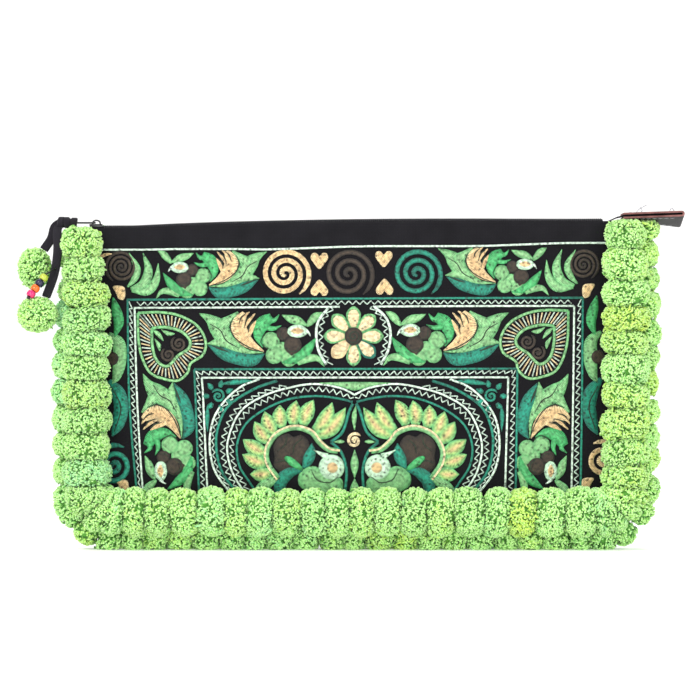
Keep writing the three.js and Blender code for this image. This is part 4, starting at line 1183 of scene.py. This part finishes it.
centre = Needlework(14)
for side in (0, 1):
    place = {"origin": (2 * ARCH_AXIS if side else 0, 0), "mirrored": side == 1}
    for tip, base in zip(PETAL_TIPS, PETAL_BASES):
        tip, base = np.array(tip), np.array(base)
        way = tip - base
        bow = np.array([-way[1], way[0]]) * PETAL_BEND * (1 if tip[0] > 20 else -1.6)
        line = [(*base, 4.8), (*(base + way * 0.35 - bow * 0.5), PETAL_WIDTH)]
        line += [(*(base + way * 0.7 - bow * 0.35), PETAL_WIDTH * 0.8), (*tip, 0.4)]
        centre.sew([("petal", 0.05, line)], **place)
    centre.sew([("mint", 0.3, [(x, z, 3.6) for x, z in FAN_BAND])], **place)
    rim = [(x + (x - 36) * 0.05, z + (z - 57) * 0.06, 1.5) for x, z in FAN_BAND]
    centre.sew([("cream", 0.42, rim)], **place)
    centre.sew(FAN, **place)
    for x, z in disc(12.4, 48.8, 5.2, SEEDS):
        centre.sew([("dark", 0.75, disc(x, z, 0.42, 5))], **place)
    for line in (OGEE, OGEE_FOOT):
        sew_line(centre, both_sides(line, ARCH_AXIS)[side], "teal", 1.9, 0.1)
    centre.sew(DIAMOND, **place)
    sun_x, sun_z = 2 * ARCH_AXIS - SUN[0] if side else SUN[0], SUN[1]
    ways = disc(0, 0, 1, SUN_PETALS)
    rays = [[(x * reach, z * reach, width) for reach, width in SUN_PETAL] for x, z in ways]
    centre.sew([("teal", 0.05, ray) for ray in rays], origin=(sun_x, sun_z), mirrored=side == 1)
    centre.stroke(spiral(sun_x, sun_z, 5, 2.3, 1.7, 2, 30, mirrored=side == 1), "teal", 0.2)
    centre.sew(CORNER_LEAVES, **place)
centre.sew([("mint", 0.05, [(0, 85.4, 0.4), (-1, 79, 3.2), (-0.8, 71, 0.6)])])
centre.stroke(spiral(-0.8, 64.8, 5.4, 2.5, 1.9, 2.1, 40), "cream", 0.2)
centre.sew([("mint", 0.05, [(-0.8, 59.4, 0.4), (-0.8, 51, 5.2), (-0.8, 42.8, 0.5)])])
centre.sew([("mint", 0.05, [(-0.8, 42.3, 0.5), (-0.8, 36, 6), (-0.8, FRAME_FOOT, 6)])])
wedge = [(-21.8, 98.6, 0.6), (-10, 98, 2.6), (-0.8, 96.8, 5.4), (9, 98, 2.6), (20.4, 98.6, 0.6)]
centre.sew([("mint", 0.05, wedge)])
centre.piece("stitched_centre")

# Zip tapes and coil
# Two woven tapes along the mouth, each with its half of a black nylon coil. They end inside the tab.
COIL_PITCH = 1.2
COIL_WIRE = 0.36
COIL_HALF_WIDTH = 1.5
COIL_HALF_HEIGHT = 1.25
COIL_OFFSET = 1.5
COIL_POINTS = 9
COIL_GAP = 0.3
COIL_HIDDEN = 11
COIL_SUNK = 1.0
COIL_MESH = 0.97


def plain_material(name, colour, roughness, specular=0.5):
    """A material of one colour."""
    made, _, shader = new_material(name)
    set_inputs(shader, {"Base Color": linear(colour), "Roughness": roughness})
    set_inputs(shader, {"Specular IOR Level": specular})
    return made


def tube(path, radius, sides=6):
    """A closed round tube through points in mm. The radius may change along it."""
    path = np.asarray(path, float)
    radius = np.broadcast_to(radius, len(path))
    along = unit(np.gradient(path, axis=0))
    aside = unit(np.cross(along, [0.31, 0.87, 0.39]))
    over = np.cross(along, aside)
    turns = np.linspace(0, 2 * math.pi, sides, endpoint=False)
    rings = [
        p + r * (np.outer(np.cos(turns), a) + np.outer(np.sin(turns), b))
        for p, a, b, r in zip(path, aside, over, radius)
    ]
    points, triangles = closed_loft(rings)
    return points, facing_out(points, triangles)


def tube_piece(name, tubes, material, slot):
    """One piece from several tubes."""
    points, triangles = join_arrays(tubes)
    piece = mesh_object(name, points, triangles, {}, material)
    finish_piece(piece, slot)
    return piece


# Cotton tape, woven finer than the panels.
zip_cotton = woven_cotton("woven_zip_tape", "#17161a", "#26252a", 0.6)
# Drawn nylon: smooth enough for a small highlight on every turn of the coil.
nylon = plain_material("black_nylon_coil", "#1b1b1e", 0.28)
for side in ("front", "back"):
    tape = merged_copy("zip_tape_" + side, "tape_" + side)
    smooth_by_angle(tape, 35)
    tape.data.materials.append(zip_cotton)
    finish_piece(tape, "zip_tape", "zip_tape_" + side)

ridge = np.array([v.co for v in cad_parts["zip_tape_front"].data.vertices]) / MM
ridge = ridge[np.abs(ridge[:, 1]) < 1]
ridge_x = np.unique(ridge[:, 0].round(1))
ridge_z = np.array([ridge[np.abs(ridge[:, 0] - x) < 0.2][:, 2].max() for x in ridge_x])
coil_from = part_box("zip_slider")[1].x / MM + COIL_GAP
coil_to = ridge_x[ridge_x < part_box("zip_end_tab")[0].x / MM - COIL_HIDDEN].max()
turns = np.arange(0, (coil_to - coil_from) / COIL_PITCH, 1 / COIL_POINTS)
for name, side in (("front", -1), ("back", 1)):
    angle = 2 * math.pi * turns
    x = coil_from + turns * COIL_PITCH + (0.5 * COIL_PITCH if side > 0 else 0)
    y = side * (COIL_OFFSET + COIL_HALF_WIDTH * np.cos(angle) * COIL_MESH)
    z = np.interp(x, ridge_x, ridge_z) - COIL_SUNK + COIL_HALF_HEIGHT * np.sin(angle)
    tube_piece("coil_" + name, [tube(np.stack([x, y, z], -1), COIL_WIRE, 4)], nylon, "zip_tape")

# Zip slider and pull
# A small die-cast slider, painted black: two plates joined by a post, with flanges round the coil, and a
# bent wire bridge that holds the flat pull bar.
slider_low, slider_high = box_mm("zip_slider")
PLATE = 0.9
POST_LENGTH = 1.6
POST_HALF = 0.9
FLANGE = 0.8
FLANGE_FROM = 0.6
UPPER_FLANGE = 2.2
LOWER_FLANGE = 1.5
BRIDGE_RISE = 2.8
BRIDGE_WIRE = 0.5
BRIDGE_SUNK = 0.2
BRIDGE_POINTS = 15


def block(low, high):
    """A box in mm as a new object."""
    low, high = np.array(low, float), np.array(high, float)
    bpy.ops.mesh.primitive_cube_add(size=1, location=(0, 0, 0))
    made = bpy.context.active_object
    bpy.ops.object.mode_set(mode="EDIT")
    bpy.ops.mesh.select_all(action="SELECT")
    bpy.ops.transform.resize(value=tuple((high - low) * MM))
    bpy.ops.transform.translate(value=tuple((high + low) / 2 * MM))
    bpy.ops.object.mode_set(mode="OBJECT")
    return made


def joined(pieces, name):
    """The pieces as one object."""
    bpy.ops.object.select_all(action="DESELECT")
    for piece in pieces:
        piece.select_set(True)
    bpy.context.view_layer.objects.active = pieces[0]
    bpy.ops.object.join()
    pieces[0].name = name
    pieces[0].data.name = name
    return pieces[0]


def round_edges(piece, width_mm, degrees):
    """Rounds the edges that turn by more than an angle."""
    limit = {"limit_method": "ANGLE", "angle_limit": math.radians(degrees)}
    apply_modifier(piece, "BEVEL", width=width_mm * MM, segments=2, **limit)


# Black paint on cast metal: half glossy, with soft highlights on the rounded edges.
black_paint = plain_material("semi_gloss_black_paint", "#151517", 0.32)
x0, x1 = slider_low[0], slider_high[0]
half = slider_high[1]
bottom = slider_low[2]
plate_top = slider_high[2] - BRIDGE_RISE
slider_parts = [
    block([x0, -half, plate_top - PLATE], [x1, half, plate_top]),
    block([x0, -half, bottom], [x1, half, bottom + PLATE]),
    block([x0, -POST_HALF, bottom], [x0 + POST_LENGTH, POST_HALF, plate_top]),
]
for side in (-1, 1):
    near, far = sorted([side * (half - FLANGE), side * half])
    for low, high in ((plate_top - UPPER_FLANGE, plate_top), (bottom, bottom + LOWER_FLANGE)):
        slider_parts.append(block([x0 + FLANGE_FROM, near, low], [x1, far, high]))
slider = joined(slider_parts, "slider_body")
round_edges(slider, 0.25, 30)
smooth_by_angle(slider, 35)
slider.data.materials.append(black_paint)
finish_piece(slider, "black_metal", "zip_slider")

arch_from, arch_to = x0 + 1.7, x1 - 1.3
arch_turn = np.linspace(math.pi, 0, BRIDGE_POINTS)
arch_x = (arch_from + arch_to) / 2 + (arch_to - arch_from) / 2 * np.cos(arch_turn)
arch_z = plate_top - BRIDGE_SUNK + (BRIDGE_RISE + BRIDGE_SUNK - BRIDGE_WIRE) * np.sin(arch_turn) ** 0.75
arch = np.stack([arch_x, np.zeros(BRIDGE_POINTS), arch_z], -1)
tube_piece("slider_bridge", [tube(arch, BRIDGE_WIRE, 8)], black_paint, "black_metal")

pull = merged_copy("zip_pull", "pull_bar")
round_edges(pull, 0.22, 50)
smooth_by_angle(pull, 40)
pull.data.materials.append(black_paint)
finish_piece(pull, "black_metal", "zip_pull")

# Leather tab
# A strip of dark leather folded over the tapes' ends and sewn through. Its cut edges show a brown core.
LEATHER_FACE = "#171518", "#282529"
LEATHER_CORE = "#5b3431", "#8a5c57"
GRAIN_PER_METRE = 1400.0
WEAR_PER_METRE = 160.0
TAB_STITCH = 2.6
TAB_STITCH_GAP = 0.9
TAB_SEAM_INSET = 3.4
TAB_SEAM_FROM = 3
TAB_SEAM_TO = 5
SEWING_THREAD = 0.34


def leather_material(name, dark, light, roughness):
    """Leather with a fine pebbled grain, and worn lighter in patches."""
    made, tree, shader = new_material(name)
    place = add_node(tree, "TexCoord").outputs["Object"]
    grain = add_node(tree, "TexVoronoi", {"Vector": place, "Scale": GRAIN_PER_METRE})
    wear = add_node(tree, "TexNoise", {"Vector": place, "Scale": WEAR_PER_METRE, "Detail": 5.0})
    ramp = add_node(tree, "ValToRGB", {"Fac": wear.outputs["Fac"]})
    set_ramp(ramp, [(0.35, dark), (0.7, light)])
    pebbles = grain.outputs["Distance"]
    bump = add_node(tree, "Bump", {"Height": pebbles, "Strength": 0.35, "Distance": 0.2 * MM})
    colour, normal = ramp.outputs["Color"], bump.outputs["Normal"]
    set_inputs(shader, {"Base Color": colour, "Normal": normal, "Roughness": roughness})
    return made


tab = merged_copy("zip_end_tab", "leather_tab")
round_edges(tab, 0.25, 50)
smooth_by_angle(tab, 40)
tab.data.materials.append(leather_material("dark_leather_face", *LEATHER_FACE, 0.7))
tab.data.materials.append(leather_material("raw_leather_edge", *LEATHER_CORE, 0.8))
for face in tab.data.polygons:
    face.material_index = 1 if abs(face.normal.y) > 0.6 or face.normal.x < -0.7 else 0
finish_piece(tab, "brown_leather", "zip_end_tab")

tab_low, tab_high = box_mm("zip_end_tab")
tab_tree = BVHTree.FromObject(tab, bpy.context.evaluated_depsgraph_get())


def tab_face(x, y, above):
    """The height in mm of the tab's upper or lower face at x, y."""
    start, way = (tab_high[2] + 20, -1) if above else (tab_low[2] - 20, 1)
    hit = tab_tree.ray_cast(Vector((x * MM, y * MM, start * MM)), Vector((0, 0, way)))[0]
    return hit.z / MM


# Polyester sewing thread: grey against the leather, and matt.
sewing = plain_material("grey_sewing_thread", "#8d8b92", 0.6, 0.3)
stitches = []
for y in (tab_low[1] + TAB_SEAM_INSET, tab_high[1] - TAB_SEAM_INSET):
    for x in np.arange(tab_low[0] + TAB_SEAM_FROM, tab_high[0] - TAB_SEAM_TO, TAB_STITCH + TAB_STITCH_GAP):
        for above in (True, False):
            ends = [[x + d, y, tab_face(x + d, y, above)] for d in (0, TAB_STITCH * 0.5, TAB_STITCH)]
            stitches.append(tube(ends, [0.15, SEWING_THREAD, 0.15], 5))
tube_piece("tab_stitches", stitches, sewing, "brown_leather")

# Loose thread ends stand up from the tab's seam.
STRAY_ENDS = [
    [(165, -10, 0), (167, -10.6, 2.2), (170, -11, 3.8), (171.4, -11, 4.4)],
    [(168, -10, 0), (168.6, -10.4, 1.6), (167.4, -10.8, 3.2)],
    [(184.6, -10, 0), (186, -10.4, 2.4), (187.6, -10.6, 0.4)],
]
strays = []
for line in STRAY_ENDS:
    path = [(x, y, tab_face(x, y, True) + rise - 0.2) for x, y, rise in line]
    strays.append(tube(smooth_line(path, 0.5, places=3), 0.2, 5))
tube_piece("tab_thread_ends", strays, sewing, "brown_leather")

# Charm strap
# A flat black cotton tape, looped through the slot of the pull with a cow hitch. Its two tails hang down.
strap = merged_copy("charm_strap", "strap_and_knot")
crease_sharp(strap, 50, 0.75)
apply_modifier(strap, "SUBSURF", levels=2, render_levels=2)
strap.data.shade_smooth()
# Cotton tape, woven a little lighter than the bands.
strap_cotton = woven_cotton("woven_strap_tape", "#18161b", "#2a272e", 0.7)
strap.data.materials.append(strap_cotton)
finish_piece(strap, "black_cotton", "charm_strap")

# The hitch's loops, drawn tight over the knot, with their width along the pull.
pull_low, pull_high = box_mm("zip_pull")
knot_z = (pull_low[2] + pull_high[2]) / 2
HITCH_LOOPS = [
    (pull_low[0] + 3.9, 4.3, 3.1, 0.5),
    (pull_low[0] + 0.2, 4.8, 3.5, -0.4),
    (pull_low[0] - 3.8, 4.8, 3.6, 0.6),
]
loops = []
for x, wide, high, lean in HITCH_LOOPS:
    turns = np.linspace(0, 2 * math.pi, 25)[:-1]
    ring_points = []
    for offset, swell in ((-1.9, 0.82), (-1.3, 1.0), (1.3, 1.0), (1.9, 0.82)):
        y = wide * swell * np.sign(np.cos(turns)) * np.abs(np.cos(turns)) ** 0.8
        z = high * swell * np.sign(np.sin(turns)) * np.abs(np.sin(turns)) ** 0.8
        ring_points.append(np.stack([x + offset + lean * np.sin(turns), y, knot_z + z], -1))
    loops.append(closed_loft(ring_points))
loop_points, loop_triangles = join_arrays([(p, facing_out(p, t)) for p, t in loops])
hitch = mesh_object("hitch_loops", loop_points, loop_triangles, {}, strap_cotton)
smooth_by_angle(hitch, 50)
finish_piece(hitch, "black_cotton")

# Beads
# Four drilled wooden beads with glossy paint, threaded on a waxed thread that ends in a knot.
BEADS = {"lime": "#a9b540", "navy": "#1d1838", "orange": "#ea6420", "pink": "#d22a68"}
BEAD_RING = 1.68
BEAD_TUBE = 0.95
BEAD_STRETCH = 2.0


def bead_middle(name):
    """The middle of a bead's box, in metres."""
    low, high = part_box("bead_" + name)
    return (low + high) / 2


fall = (bead_middle("pink") - bead_middle("lime")).normalized()
for name, colour in BEADS.items():
    bpy.ops.mesh.primitive_torus_add(
        major_radius=BEAD_RING * MM, minor_radius=BEAD_TUBE * MM, major_segments=32, minor_segments=16
    )
    bead = bpy.context.active_object
    bead.name = "painted_bead_" + name
    bead.data.name = bead.name
    bead.data.transform(
        Matrix.Translation(bead_middle(name))
        @ fall.to_track_quat("Z", "Y").to_matrix().to_4x4()
        @ Matrix.Diagonal((1, 1, BEAD_STRETCH, 1))
    )
    bead.data.shade_smooth()
    # Enamel on wood: a hard gloss with small bright highlights.
    bead.data.materials.append(plain_material("glossy_paint_" + name, colour, 0.15))
    finish_piece(bead, name + "_wood", "bead_" + name)

thread = merged_copy("charm_thread", "bead_thread")
thread.data.shade_smooth()
# Waxed thread: dark, with a dull sheen.
thread.data.materials.append(plain_material("waxed_dark_thread", "#1f1d20", 0.5))
finish_piece(thread, "dark_thread", "charm_thread")

# Floor, light and camera
# A pale sweep of paper with large soft lights, seen level from the front through a long lens.
CAMERA_HEIGHT = 118
CAMERA_SIDE = -3.5
CAMERA_DISTANCE = 2200
VIEW_WIDTH = 411.6
NEAR_FACE = -15
SENSOR = 36
BACKDROP = "#f4f4f3"
WHITE_LIGHT = (1, 1, 1, 1)

bpy.ops.mesh.primitive_plane_add(size=8, location=(0, 0, 0))
sweep = bpy.context.active_object
sweep.name = "paper_sweep"
bpy.ops.object.mode_set(mode="EDIT")
bpy.ops.mesh.select_all(action="DESELECT")
bpy.ops.object.mode_set(mode="OBJECT")
for edge in sweep.data.edges:
    edge.select = all(sweep.data.vertices[v].co.y > 1 for v in edge.vertices)
bpy.ops.object.mode_set(mode="EDIT")
bpy.ops.mesh.select_mode(type="EDGE")
bpy.ops.mesh.extrude_region_move(TRANSFORM_OT_translate={"value": (0, 0.6, 0.25)})
bpy.ops.mesh.extrude_region_move(TRANSFORM_OT_translate={"value": (0, 0.4, 0.75)})
bpy.ops.mesh.extrude_region_move(TRANSFORM_OT_translate={"value": (0, 0, 4)})
bpy.ops.object.mode_set(mode="OBJECT")
# Matt paper that glows a little, so that it stays white behind the bag.
paper = plain_material("matt_white_paper", BACKDROP, 1.0)
paper_glow = {"Emission Color": WHITE_LIGHT, "Emission Strength": 0.3}
set_inputs(paper.node_tree.nodes["Principled BSDF"], paper_glow)
sweep.data.materials.append(paper)

world = bpy.data.worlds.new("studio")
world.use_nodes = True
set_inputs(world.node_tree.nodes["Background"], {"Color": WHITE_LIGHT, "Strength": 0.75})
bpy.context.scene.world = world
bpy.context.scene.view_settings.view_transform = "Standard"


def soft_light(name, place, size, power):
    """A square soft box aimed at the middle of the bag."""
    lamp = bpy.data.lights.new(name, "AREA")
    lamp.size = size
    lamp.energy = power
    lit = bpy.data.objects.new(name, lamp)
    lit.location = place
    lit.rotation_euler = (Vector((0, 0, 0.1)) - Vector(place)).to_track_quat("-Z", "Y").to_euler()
    bpy.context.scene.collection.objects.link(lit)


soft_light("key", (-0.9, -1.5, 1.3), 1.0, 26)
soft_light("fill", (1.2, -1.4, 0.6), 1.2, 9)
soft_light("low_fill", (0, -1.6, 0.05), 0.8, 11)
soft_light("top", (0, 0.3, 1.7), 1.2, 10)

lens = bpy.data.cameras.new("camera")
lens.sensor_width = SENSOR
lens.lens = SENSOR * (CAMERA_DISTANCE + NEAR_FACE) / VIEW_WIDTH
lens.clip_end = 20
camera = bpy.data.objects.new("camera", lens)
camera.location = (CAMERA_SIDE * MM, -CAMERA_DISTANCE * MM, CAMERA_HEIGHT * MM)
camera.rotation_euler = (math.pi / 2, 0, 0)
bpy.context.scene.collection.objects.link(camera)
bpy.context.scene.camera = camera
